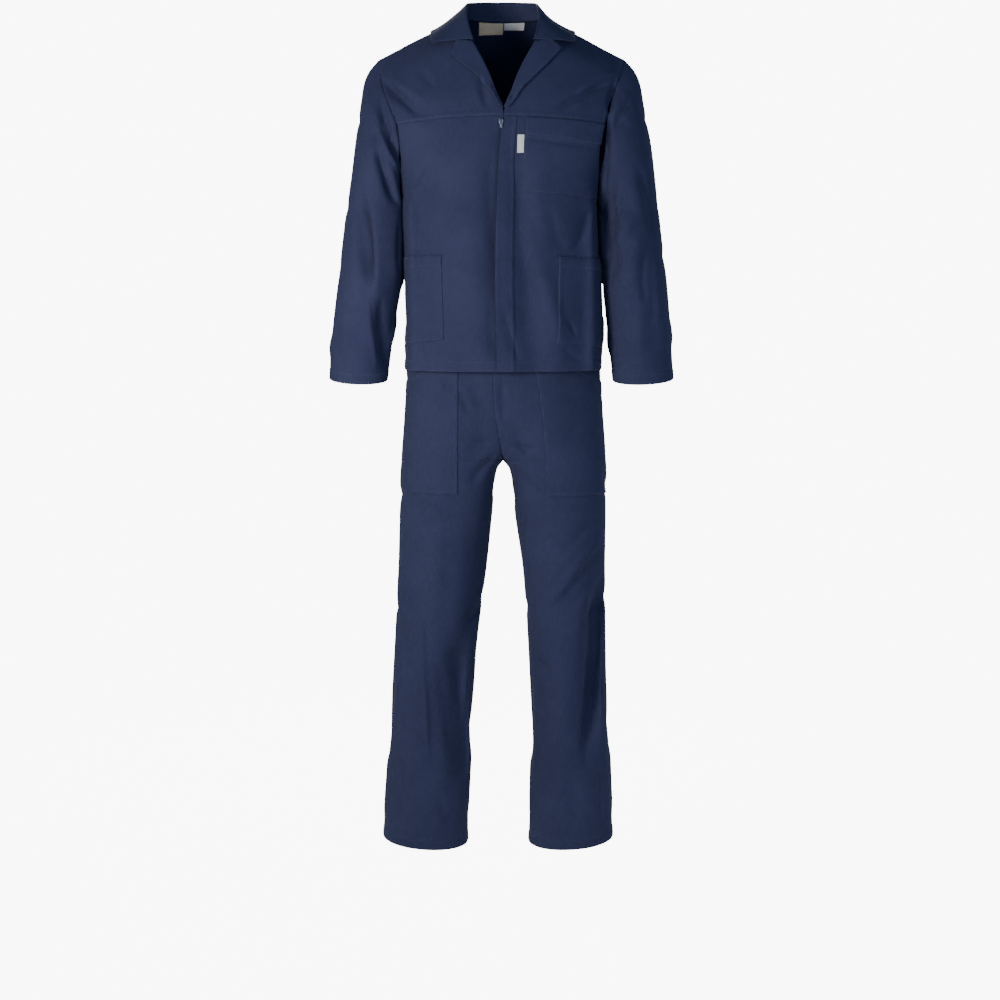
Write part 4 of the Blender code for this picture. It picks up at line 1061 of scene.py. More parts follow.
    def waist(self, rows: np.ndarray, columns: np.ndarray) -> np.ndarray:
        """The waistband: the waist seam's ring, columns 0 to 40 round it, drawn in and up by 38 mm."""
        rows, columns = np.broadcast_arrays(np.asarray(rows, float), np.asarray(columns, float))
        turn = np.mod(columns, 40)
        top = np.full(turn.shape, 23.0)
        parts = [self.half(side, rear)(top, np.clip(over, 0, 10)) for side, rear, over in (
            (-1, False, 10 - turn), (1, False, turn - 10), (1, True, 30 - turn), (-1, True, turn - 30))]
        ring = np.select([(turn < limit)[..., None] for limit in (10, 20, 30)], parts[:3], parts[3])
        return ring + rows[..., None] * (ring * np.array([-0.03, -0.03, 0]) + np.array([0, 0, 38.0]))


# Finishes

def linear(code: str) -> tuple[float, float, float, float]:
    """An sRGB hex colour as linear light with full opacity."""
    parts = (int(code[k:k + 2], 16) / 255 for k in (1, 3, 5))
    red, green, blue = (c / 12.92 if c <= 0.04045 else ((c + 0.055) / 1.055) ** 2.4 for c in parts)
    return red, green, blue, 1.0


def node(tree: bpy.types.NodeTree, kind: str, links: Optional[dict] = None, **settings) -> bpy.types.Node:
    """Adds a node.

    Args:
        tree: the material's tree.
        kind: the node's type.
        links: sockets or values for its inputs, by input name or number.
        settings: its properties, or the values of inputs with spaces written as underscores.

    Returns:
        The node.
    """
    made = tree.nodes.new(kind)
    for name, value in settings.items():
        if hasattr(made, name):
            setattr(made, name, value)
        else:
            made.inputs[name.replace("_", " ")].default_value = value
    for name, value in (links or {}).items():
        if isinstance(value, bpy.types.NodeSocket):
            tree.links.new(value, made.inputs[name])
        else:
            made.inputs[name].default_value = value
    return made


def layered(tree: bpy.types.NodeTree, colour: str, layers: Sequence[tuple]) -> bpy.types.NodeSocket:
    """A colour under layers of others.

    Args:
        tree: the material's tree.
        colour: the colour at the bottom.
        layers: for each, the socket that says where it shows, the range that is read, how much of
            the layer shows at both ends of that range, and its colour.

    Returns:
        The socket of the finished colour.
    """
    base = linear(colour)
    for value, low, high, least, most, over in layers:
        share = node(tree, "ShaderNodeMapRange", {0: value, 1: low, 2: high, 3: least, 4: most})
        mix = node(tree, "ShaderNodeMix", {0: share.outputs[0], 6: base, 7: linear(over)}, data_type="RGBA")
        base = mix.outputs[2]
    return base


def dressed(name: str, draw: Callable[[bpy.types.NodeTree], dict], **values) -> bpy.types.Material:
    """A material whose standard shader takes what is drawn and the values given.

    Args:
        name: the material's name.
        draw: adds the nodes, and returns sockets by the name of the shader's input, where the
            roughness is a socket with the least and the most that it gives.
        values: numbers or colours of other inputs, with spaces written as underscores.

    Returns:
        The material.
    """
    material = bpy.data.materials.new(name)
    material.use_nodes = True
    tree = material.node_tree
    shader = tree.nodes["Principled BSDF"]
    sockets = draw(tree)
    value, least, most = sockets.pop("Roughness")
    cloudy = node(tree, "ShaderNodeMapRange", {0: value, 1: 0.3, 2: 0.7, 3: least, 4: most})
    sockets["Roughness"] = cloudy.outputs[0]
    for key, socket in sockets.items():
        tree.links.new(socket, shader.inputs[key])
    for key, number in values.items():
        shader.inputs[key.replace("_", " ")].default_value = number
    return material


@dataclass(frozen=True)
class Twill:
    """Cotton twill, woven and piece-dyed navy, washed a few times and not pressed.

    The eye sees a dull surface without highlights, steep diagonal ribs close up, thick places in the
    warp yarns, dye that lies a little cloudy, edges paler partly from rubbed dye and partly from a
    painted highlight, an inner face darkened by painted shade, and a faint sheen of raised fibres
    where the cloth turns away.
    """
    name: str = "navy_twill"
    dye: str = "#33395b"
    deep: str = "#282d4b"
    pale: str = "#4a5276"
    # Painted shade: the inner face is mixed towards this near black navy, as if the hollow inside lay in
    # shade.
    inner: str = "#0c1438"
    # Real ribs are about 0.8 mm apart, less than a pixel. They are drawn twice as coarse to show
    rib: float = 0.0016
    rough: float = 0.86
    sheen: float = 0.12

    def draw(self, tree: bpy.types.NodeTree) -> dict:
        """Ribs and slubs on the map named cloth, dye in object places, and from the piece itself wear
        with a painted highlight on edges, and a painted shade on the inner face.

        A cell of a noise is 1 / scale metres. Slubs are drawn 0.9 mm wide, three times the real yarn,
        and 18 mm long. The dye's clouds are about 110 mm and its specks 2.4 mm.
        """
        cloth = node(tree, "ShaderNodeUVMap", uv_map="cloth").outputs[0]
        place = node(tree, "ShaderNodeTexCoord").outputs["Object"]
        turned = node(tree, "ShaderNodeMapping", {0: cloth}, Rotation=(0, 0, math.radians(27)))
        ribs = node(tree, "ShaderNodeTexWave", {"Vector": turned.outputs[0]},
                    Scale=2 * math.pi / (20 * self.rib), Distortion=0.6, Detail=1.0, Detail_Scale=2.0)
        stretched = node(tree, "ShaderNodeMapping", {0: cloth}, Scale=(1100, 55, 1))
        slub = node(tree, "ShaderNodeTexNoise", {"Vector": stretched.outputs[0]}, Scale=1.0, Detail=3.0)
        clouds = node(tree, "ShaderNodeTexNoise", {"Vector": place}, Scale=9.0, Detail=4.0, Roughness=0.6)
        specks = node(tree, "ShaderNodeTexNoise", {"Vector": place}, Scale=420.0, Detail=2.0)
        # Paleness of edges and ridges: partly wear, partly a painted highlight. Darkening of the inner face:
        # painted shade.
        wear_and_highlight = node(tree, "ShaderNodeAttribute", attribute_name="wear_and_highlight").outputs["Fac"]
        inside = node(tree, "ShaderNodeAttribute", attribute_name="inside").outputs["Fac"]
        base = layered(tree, self.dye, (
            (clouds.outputs[0], 0.35, 0.7, 0.0, 0.55, self.deep),
            (slub.outputs[0], 0.45, 0.8, 0.0, 0.30, self.pale),
            (specks.outputs[0], 0.55, 0.8, 0.0, 0.18, self.pale),
            (ribs.outputs["Fac"], 0.2, 0.9, 0.22, 0.0, self.deep),
            # Last two layers: edge wear with a painted highlight, and painted shade on the inner face.
            (wear_and_highlight, 0.0, 1.0, 0.0, 0.4, self.pale), (inside, 0.0, 1.0, 0.0, 0.85, self.inner)))
        fine = node(tree, "ShaderNodeBump", {"Height": ribs.outputs["Fac"]}, Strength=0.5, Distance=0.00025)
        coarse = node(tree, "ShaderNodeBump", {"Height": slub.outputs[0], "Normal": fine.outputs[0]},
                      Strength=0.35, Distance=0.00035)
        return {"Base Color": base, "Roughness": (clouds.outputs[0], self.rough - 0.05, self.rough + 0.05),
                "Normal": coarse.outputs[0]}

    def build(self) -> bpy.types.Material:
        """Makes the material, with the faint sheen of raised fibres."""
        return dressed(self.name, self.draw, Sheen_Weight=self.sheen, Sheen_Roughness=0.45,
                       Sheen_Tint=linear("#8d96b8"), Specular_IOR_Level=0.25)


@dataclass(frozen=True)
class Tape:
    """Polyester label tape, plain woven. The eye sees crossed yarns and a faint gloss on them."""
    name: str
    colour: str
    shade: str
    # Real yarns are about 0.4 mm apart. They are drawn twice as coarse to show
    yarn: float = 0.0009
    rough: float = 0.6

    def draw(self, tree: bpy.types.NodeTree) -> dict:
        """Two crossed waves on the map named cloth give the weave."""
        cloth = node(tree, "ShaderNodeUVMap", uv_map="cloth").outputs[0]
        scale = 2 * math.pi / (20 * self.yarn)
        warp = node(tree, "ShaderNodeTexWave", {"Vector": cloth}, Scale=scale, bands_direction="X")
        weft = node(tree, "ShaderNodeTexWave", {"Vector": cloth}, Scale=scale * 1.4, bands_direction="Y")
        threads = {0: warp.outputs["Fac"], 1: weft.outputs["Fac"]}
        weave = node(tree, "ShaderNodeMath", threads, operation="MULTIPLY")
        patchy = node(tree, "ShaderNodeTexNoise", {"Vector": cloth}, Scale=160.0, Detail=3.0)
        base = layered(tree, self.colour, ((weave.outputs[0], 0.0, 0.7, 0.7, 0.0, self.shade),
                                           (patchy.outputs[0], 0.4, 0.8, 0.0, 0.4, self.shade)))
        bump = node(tree, "ShaderNodeBump", {"Height": weave.outputs[0]}, Strength=0.5, Distance=0.0002)
        return {"Base Color": base, "Roughness": (patchy.outputs[0], self.rough - 0.08, self.rough + 0.08),
                "Normal": bump.outputs[0]}

    def build(self) -> bpy.types.Material:
        """Makes the material."""
        return dressed(self.name, self.draw)


@dataclass(frozen=True)
class Thread:
    """Spun polyester sewing thread of two plies. The eye sees short stitches paler than the cloth."""
    name: str = "navy_thread"
    colour: str = "#48526f"
    shade: str = "#343d5a"

    def draw(self, tree: bpy.types.NodeTree) -> dict:
        """Noises in object places: the twist, about 1 mm a turn as it is, and patches of 17 mm."""
        place = node(tree, "ShaderNodeTexCoord").outputs["Object"]
        twist = node(tree, "ShaderNodeTexNoise", {"Vector": place}, Scale=900.0, Detail=1.0)
        tone = node(tree, "ShaderNodeTexNoise", {"Vector": place}, Scale=60.0, Detail=2.0)
        base = layered(tree, self.colour, ((tone.outputs[0], 0.3, 0.7, 0.0, 1.0, self.shade),))
        bump = node(tree, "ShaderNodeBump", {"Height": twist.outputs[0]}, Strength=0.4, Distance=0.0001)
        return {"Base Color": base, "Roughness": (tone.outputs[0], 0.5, 0.65), "Normal": bump.outputs[0]}

    def build(self) -> bpy.types.Material:
        """Makes the material."""
        return dressed(self.name, self.draw)


@dataclass(frozen=True)
class ZipMetal:
    """Zinc alloy, die cast and tumbled. The eye sees a grey metal with a soft shine and dull patches."""
    name: str = "zip_metal"
    colour: str = "#8d93a0"
    shade: str = "#4b4f5a"
    rough: float = 0.26

    def draw(self, tree: bpy.types.NodeTree) -> dict:
        """Scratches along the slider and a cloudy roughness.

        Real scratches are about 0.03 mm wide. They are drawn 0.1 mm wide and 1.7 mm long to show.
        """
        place = node(tree, "ShaderNodeTexCoord").outputs["Object"]
        drawn = node(tree, "ShaderNodeMapping", {0: place}, Scale=(9000, 9000, 600))
        scratch = node(tree, "ShaderNodeTexNoise", {"Vector": drawn.outputs[0]}, Scale=1.0, Detail=2.0)
        clouds = node(tree, "ShaderNodeTexNoise", {"Vector": place}, Scale=500.0, Detail=3.0)
        base = layered(tree, self.colour, ((clouds.outputs[0], 0.35, 0.7, 0.0, 1.0, self.shade),))
        bump = node(tree, "ShaderNodeBump", {"Height": scratch.outputs[0]}, Strength=0.25, Distance=0.00005)
        return {"Base Color": base, "Roughness": (clouds.outputs[0], self.rough - 0.08, self.rough + 0.1),
                "Normal": bump.outputs[0]}

    def build(self) -> bpy.types.Material:
        """Makes the material."""
        return dressed(self.name, self.draw, Metallic=1.0)


@dataclass
class Workroom:
    """What the garments share: the finishes, the folds and the unevenness of the cloth."""
    folds: tuple[Folds, ...]
    rumple: Rumple
    twill: bpy.types.Material
    thread: bpy.types.Material
    khaki: bpy.types.Material
    white: bpy.types.Material

    def sew(self, panel: Panel, stitching: Optional[Stitching] = None,
            finish: Optional[bpy.types.Material] = None, slot: str = "navy_twill",
            rests_on: Sequence[str] = (), lift: float = 0.0, thick: float = 1.0) -> Cloth:
        """Makes a piece of cloth from its panel, gives it to the frame and sews its edges.

        Args:
            panel: the piece.
            stitching: where its stitches go.
            finish: its material, navy twill if left out.
            slot: name of a material slot; not used.
            rests_on: the pieces it lies on or hangs from; not used.
            lift: how far its outer face stands off the panel's shape.
            thick: thickness of its wall.

        Returns:
            The cloth that was built.
        """
        cloth = panel.cloth(self.folds, self.rumple, lift, thick)
        item = cloth.build()
        item.data.materials.append(finish or self.twill)
        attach(item, SUIT)
        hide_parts(panel.name)
        width, length, area = cloth.cut()
        if stitching is not None:
            stitching.along_edges(cloth, panel.edges)
        log.info("%s: %d faces, cut %.0f x %.0f mm", panel.name, len(item.data.polygons),
                 width / MM, length / MM)
        return cloth

    def bind(self, stitching: Stitching) -> None:
        """Gives the stitches of a garment to the frame."""
        item = stitching.build()
        item.data.materials.append(self.thread)
        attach(item, SUIT)
        log.info("%s: %d faces", stitching.name, len(item.data.polygons))


# The garments

def outward(line: np.ndarray, way: np.ndarray) -> np.ndarray:
    """Directions square to a line of points, on the side that a way points to."""
    tangent = unit(np.gradient(line, axis=0))
    return unit(way - tangent * (way * tangent).sum(-1, keepdims=True))


@dataclass
class Jacket:
    """The jacket: back, fronts, yokes, placket, sleeves, collar, lapels, pockets and labels."""
    room: Workroom
    form: JacketForm = JacketForm()
    # Lapel rims seen from the front: row, x, z
    lapel_right: Table = ((17.5, -7, -172), (18, -12, -159), (18.5, -18.5, -149), (19, -25, -141),
                          (19.5, -32, -132), (20, -44, -118), (20.5, -60, -102), (21, -81, -87),
                          (21.5, -96, -71), (21.97, -86, -45))
    lapel_left: Table = ((17.5, 9, -176), (18, 17, -168), (18.5, 26, -157), (19, 33, -145), (19.5, 43, -133),
                         (20, 58.5, -118), (20.5, 74.5, -102), (21, 92, -84), (21.5, 113, -61),
                         (21.97, 94, -43))
    # Collar from the notch to the centre back: x y z on the fold, x y z on the outer edge, bulge
    collar_left: Table = ((0, 62, -61, -39, 142, -46, -43, 1), (1, 73.5, -28, 6, 144, -22, -32, -2),
                          (2, 70.5, 8, 31, 142, 8, -20, -7), (3, 66.5, 30, 37, 134, 40, -36, -3),
                          (4, 59, 46, 40, 114, 64, -44, 4), (5, 44, 58, 42, 82, 80, -40, 6),
                          (6, 23, 66, 43.5, 44, 90, -36, 6), (7, 2, 69, 44, 2, 93, -34, 6))
    collar_right: Table = ((0, -57, -61, -39, -136, -46, -45, 1), (1, -69.5, -28, 6, -140, -22, -32, 0),
                           (2, -68.5, 8, 33, -139, 8, -20, -1.5), (3, -64, 30, 37.5, -131, 40, -36, 1),
                           (4, -55, 46, 40, -110, 64, -44, 5), (5, -40, 58, 42, -78, 80, -40, 6),
                           (6, -19, 66, 43.5, -40, 90, -36, 6), (7, 2, 69, 44, 2, 93, -34, 6))
    # Corners seen from the front: x z at the lower inner, lower outer, upper inner and upper outer
    chest_pocket: Table = ((43, -333), (184, -346), (46, -212), (190, -222))
    chest_flap: Table = ((45, -225), (191, -242), (47, -193), (201, -204))
    hip_pocket_left: Table = ((105, -624), (193, -632), (110, -456), (193, -463))
    hip_pocket_right: Table = ((-113, -617), (-186, -627), (-117, -453), (-190, -459))
    pocket_tab: Table = ((29, -260), (41.5, -260), (30, -226), (42.5, -226))
    # Length of the tacks at the pockets' mouths, and the wall of the solids
    tack: float = 5.5
    wall: float = 1.5
    # Sizes of a grid cell
    pitch: float = 4.4
    placket_pitch: float = 3.0
    back_pitch: float = 5.2

    def __post_init__(self) -> None:
        form, e = self.form, Edge
        low, high = (0, form.yoke), (form.yoke, form.top)
        left, right, lapped = form.front(1, False), form.front(-1, False), form.front(-1, True)
        self.thread = Stitching("jacket_stitching")
        self.parts = {name: Panel(name, shape, rows, columns, sign, edges, pitch=pitch)
                      for name, shape, rows, columns, sign, edges, pitch in (
            ("placket", left, low, (0, form.placket_end), 1,
             (e.HEM, e.SEAM, e.PLAIN, e.TOPSTITCHED), self.placket_pitch),
            ("jacket_front_left", left, low, (form.placket_end, 1), 1,
             (e.HEM, e.SEAM, e.SEAM, e.FELLED), self.pitch),
            ("jacket_front_right", lapped, low, (0, 1), -1, (e.HEM, e.SEAM, e.PLAIN, e.FELLED), self.pitch),
            ("jacket_yoke_left", left, high, (0, 1), 1, (e.FELLED, e.SEAM, e.PLAIN, e.FELLED), self.pitch),
            ("jacket_yoke_right", right, high, (0, 1), -1, (e.FELLED, e.SEAM, e.PLAIN, e.FELLED), self.pitch),
            ("jacket_back", form.back, (0, form.back_top), (-1, 1), -1,
             (e.HEM, e.FELLED, e.SEAM, e.SEAM), self.back_pitch))}

    def body(self) -> None:
        """Fronts, yokes, placket and back."""
        for name, panel in self.parts.items():
            lift = 1.2 if name == "placket" else 0.0
            hung_on = () if name == "jacket_back" else ("jacket_back",)
            self.room.sew(panel, self.thread, rests_on=hung_on, lift=lift)

    def sleeves(self) -> None:
        """Two set-in sleeves, each a tube with its seam under the arm."""
        for side, word in ((1, "left"), (-1, "right")):
            form = SleeveForm(side, self.form)
            panel = Panel("sleeve_" + word, form.shape, (0, 18.5), (0, 22), -side,
                          (Edge.SEAM, Edge.HEM, Edge.SEAM, Edge.SEAM), closed=True, pitch=self.pitch + 0.3)
            self.room.sew(panel, self.thread, rests_on=("jacket_back",))

    def patches(self) -> None:
        """Patch pockets, the flap and the small tab, each laid on the front under it."""
        left, right = self.parts["jacket_front_left"], self.parts["jacket_front_right"]
        laid = (Edge.LAID, Edge.MOUTH, Edge.LAID, Edge.LAID)
        flap = (Edge.TOPSTITCHED, Edge.SEAM, Edge.TOPSTITCHED, Edge.TOPSTITCHED)
        for name, base, corners, edges, lift in (
                ("chest_pocket", left, self.chest_pocket, laid, 2.0),
                ("chest_flap", left, self.chest_flap, flap, 4.0),
                ("hip_pocket_left", left, self.hip_pocket_left, laid, 2.0),
                ("hip_pocket_right", right, self.hip_pocket_right, laid, 2.0)):
            panel = Panel(name, base.laid(corners), (0, 1), (0, 1), base.sign, edges, pitch=4.0)
            cloth = self.room.sew(panel, self.thread, rests_on=(base.name,), lift=lift)
            for column, way in ((0.03, 1), (0.97, -1)) if edges is laid else ():
                x, _, z = panel.shape(np.array(0.985), np.array(column))
                self.thread.across(cloth, [(x, z), (x + way * base.sign * self.tack, z)], tack=True)
        tab = Panel("pocket_tab", left.laid(self.pocket_tab), (0, 1), (0, 1), 1,
                    (Edge.PLAIN,) * 4, pitch=1.6)
        self.room.sew(tab, None, self.room.white, "white_tape", ("jacket_front_left",), lift=1.5, thick=0.8)

    def lapels(self) -> None:
        """Two lapels: each leaves the roll line under itself, turns over it and lies on the yoke."""
        for side, word, rim_table in ((1, "left", self.lapel_left), (-1, "right", self.lapel_right)):
            yoke = self.parts["jacket_yoke_" + word]
            ground = Ground.of([yoke, self.parts["jacket_front_" + word]])
            rows = np.array([r[0] for r in rim_table])
            rim = curve(rim_table, rows)
            roll = yoke.shape(rows, rows * 0)
            # Places across the leaf, from the roll line to the rim
            share = np.array([0.0, 0.04, 0.3, 0.66, 1.0])
            x, z = (roll[:, [a]] + (rim[:, [b]] - roll[:, [a]]) * share for a, b in ((0, 0), (2, 1)))
            face = ground.laid(x, z)
            normal = ground.normals[ground.near(face, (0, 1, 2))]
            out = outward(roll, face[:, -1] - face[:, 0])[:, None]
            # The turn: how far out along the leaf and off the cloth, from underneath upwards
            nose = np.array([[-1.95, -0.7], [-2.2, 1.6], [-0.4, 3.9]])[None]
            under = roll[:, None] + out * nose[..., :1] + normal[:, :1] * nose[..., 1:]
            # The leaf stands off the yoke, most at its rim
            leaf = face[:, 1:] + normal[:, 1:] * np.array([4.6, 4.9, 5.8, 7.0])[None, :, None]
            leaf[:, 0] = face[:, 0] + out[:, 0] * 3 + normal[:, 0] * 4.7
            control = np.concatenate([under, leaf], 1)
            size = (0, len(rows) - 1), (0, control.shape[1] - 1)
            panel = Panel("lapel_" + word, spline_sheet(control, 1), *size, side,
                          (Edge.TOPSTITCHED, Edge.SEAM, Edge.PLAIN, Edge.TOPSTITCHED),
                          knots=(len(rows) - 2.0,), pitch=2.6)
            self.room.sew(panel, self.thread, rests_on=(yoke.name,), thick=1.2)

    def collar(self) -> None:
        """The folded collar: a stand inside the neck, the fold, and a fall that clears the shoulders."""
        halves, seams = [], []
        for side, table in ((-1, self.collar_right), (1, self.collar_left)):
            rows = np.array([22.0, 23.0, 24.0])
            turns = np.arange(4, -1, -1) / 5
            seam = np.concatenate([self.form.front(side, False)(rows, rows * 0),
                                   self.form.neck(side * np.maximum(turns, 1e-6) * self.form.neck_share)])
            seams.append(curve(np.column_stack([np.arange(8), seam]), np.linspace(0, 7, 15)))
            halves.append(curve(table, np.linspace(0, 7, 15)))
        seam = np.concatenate([seams[0], seams[1][::-1][1:]])
        table = np.concatenate([halves[0], halves[1][::-1][1:]])
        fold, rim, bulge = table[:, :3], table[:, 3:6], table[:, 6]
        up = np.array([0.0, 0.0, 1.0])
        out = outward(seam, seam * np.array([1, 1, 0]) + np.array([0, 10, 0]))
        body = Ground.of([self.parts[n] for n in ("jacket_yoke_left", "jacket_yoke_right", "jacket_back")])
        foot = seam + up * 0.3 - out * (0.3 + self.wall)
        neck_side, outside = fold - out * 2.4 - up * 1.6, fold + out * 2.4 - up * 1.2
        path = [foot, (foot + neck_side) / 2, neck_side, fold, outside]
        across = unit(np.cross(np.gradient(rim, axis=0), rim - fold))
        across *= np.sign(across[:, 2:])
        for share in (0.3, 0.65, 1.0):
            swell = across * (bulge * math.sin(math.pi * share))[:, None]
            path.append(body.raised(outside + (rim - outside) * share + swell, 1.6 + self.wall))
        control = np.stack(path)
        panel = Panel("collar", spline_sheet(control), (0, len(path) - 1), (0, control.shape[1] - 1), 1,
                      (Edge.PLAIN, Edge.TOPSTITCHED, Edge.TOPSTITCHED, Edge.TOPSTITCHED), pitch=3.2)
        self.room.sew(panel, self.thread, rests_on=("jacket_back",), thick=1.2)

    def labels(self) -> None:
        """Two bare labels inside the back of the neck."""
        for name, c0, c1, r0, finish, slot in (
                ("neck_label", -2.1, 0.02, 21.33, self.room.khaki, "khaki_tape"),
                ("size_label", 0.12, 1.9, 21.58, self.room.white, "white_tape")):
            ends = tuple(math.copysign(abs(c / 16) ** self.form.power, c) for c in (c0, c1))
            panel = Panel(name, self.form.back, (r0, 21.95), ends, -1, (Edge.PLAIN,) * 4, pitch=2.0)
            self.room.sew(panel, None, finish, slot, ("jacket_back",), lift=-2.4, thick=1.0)

    def build(self) -> None:
        """Makes every piece of the jacket."""
        self.body()
        self.sleeves()
        self.patches()
        self.lapels()
        self.collar()
        self.labels()
        self.room.bind(self.thread)


@dataclass
class Trousers:
    """The trousers: two fronts, two backs, waistband and two patch pockets with slanted mouths."""
    room: Workroom
    form: TrouserForm = TrouserForm()
    pitch: float = 4.8
    # Patch pockets: first and last column, top row, x and z of the foot on both sides, x and z of the
    # outer end of the mouth
    pocket_columns: tuple[float, float] = (4.02, 9.85)
    pocket_top: float = 22.6
    feet: tuple = ((1, "left", 87, -924), (-1, "right", -87, -920))
    mouth: tuple[float, float] = (190, -714)
    # Stitching that holds the fly, and the tack at its foot: x, z seen from the front
    fly: Table = ((29, -610), (29.5, -680), (29, -740), (26, -760), (18, -775), (5, -785), (-10, -791))
    fly_tack: Table = ((-6, -784), (-6, -806))

    def build(self) -> None:
        """Makes every piece of the trousers."""
        thread = Stitching("trouser_stitching")
        fronts = {}
        for side, word in ((1, "left"), (-1, "right")):
            front = Panel("trouser_front_" + word, self.form.half(side, False), (0, 23), (0, 10), side,
                          (Edge.HEM, Edge.SEAM, Edge.SEAM, Edge.SEAM), pitch=self.pitch)
            rear = Panel("trouser_back_" + word, self.form.half(side, True), (0, 23), (0, 10), -side,
                         (Edge.HEM, Edge.SEAM, Edge.FELLED, Edge.FELLED), pitch=self.pitch + 0.6)
            cloth = self.room.sew(front, thread, rests_on=("waistband",))
            self.room.sew(rear, thread, rests_on=("waistband",))
            fronts[side] = front
            if side > 0:
                thread.across(cloth, self.fly)
                thread.across(cloth, self.fly_tack, tack=True)
                thread.across(cloth, [(x - 3.2, z) for x, z in self.fly[:4]])
        waist = Panel("waistband", self.form.waist, (0, 1), (0, 40), 1,
                      (Edge.TOPSTITCHED, Edge.TOPSTITCHED, Edge.PLAIN, Edge.PLAIN), closed=True, pitch=6.0)
        self.room.sew(waist, thread)
        for side, word, *foot in self.feet:
            self.pocket(fronts[side], side, word, foot, thread)
        self.room.bind(thread)

    def pocket(self, front: Panel, side: int, word: str, foot: Sequence[float], thread: Stitching) -> None:
        """A patch pocket: from its foot to a mouth that runs up and inward from the outer seam."""
        bottom, mouth = front.find(*foot)[0], front.find(side * self.mouth[0], self.mouth[1])[0]
        first, last = self.pocket_columns

        def shape(rows: np.ndarray, over: np.ndarray) -> np.ndarray:
            slanted = np.where(rows > mouth, mouth + (rows - mouth) * (1 - 0.92 * over), rows)
            return front.shape(slanted, first + (last - first) * over)

        panel = Panel("trouser_pocket_" + word, shape, (bottom, self.pocket_top), (0, 1), side,
                      (Edge.LAID_TWICE, Edge.MOUTH, Edge.LAID_TWICE, Edge.LAID), pitch=4.6)
        self.room.sew(panel, thread, rests_on=(front.name,), lift=2.2)


# Zip

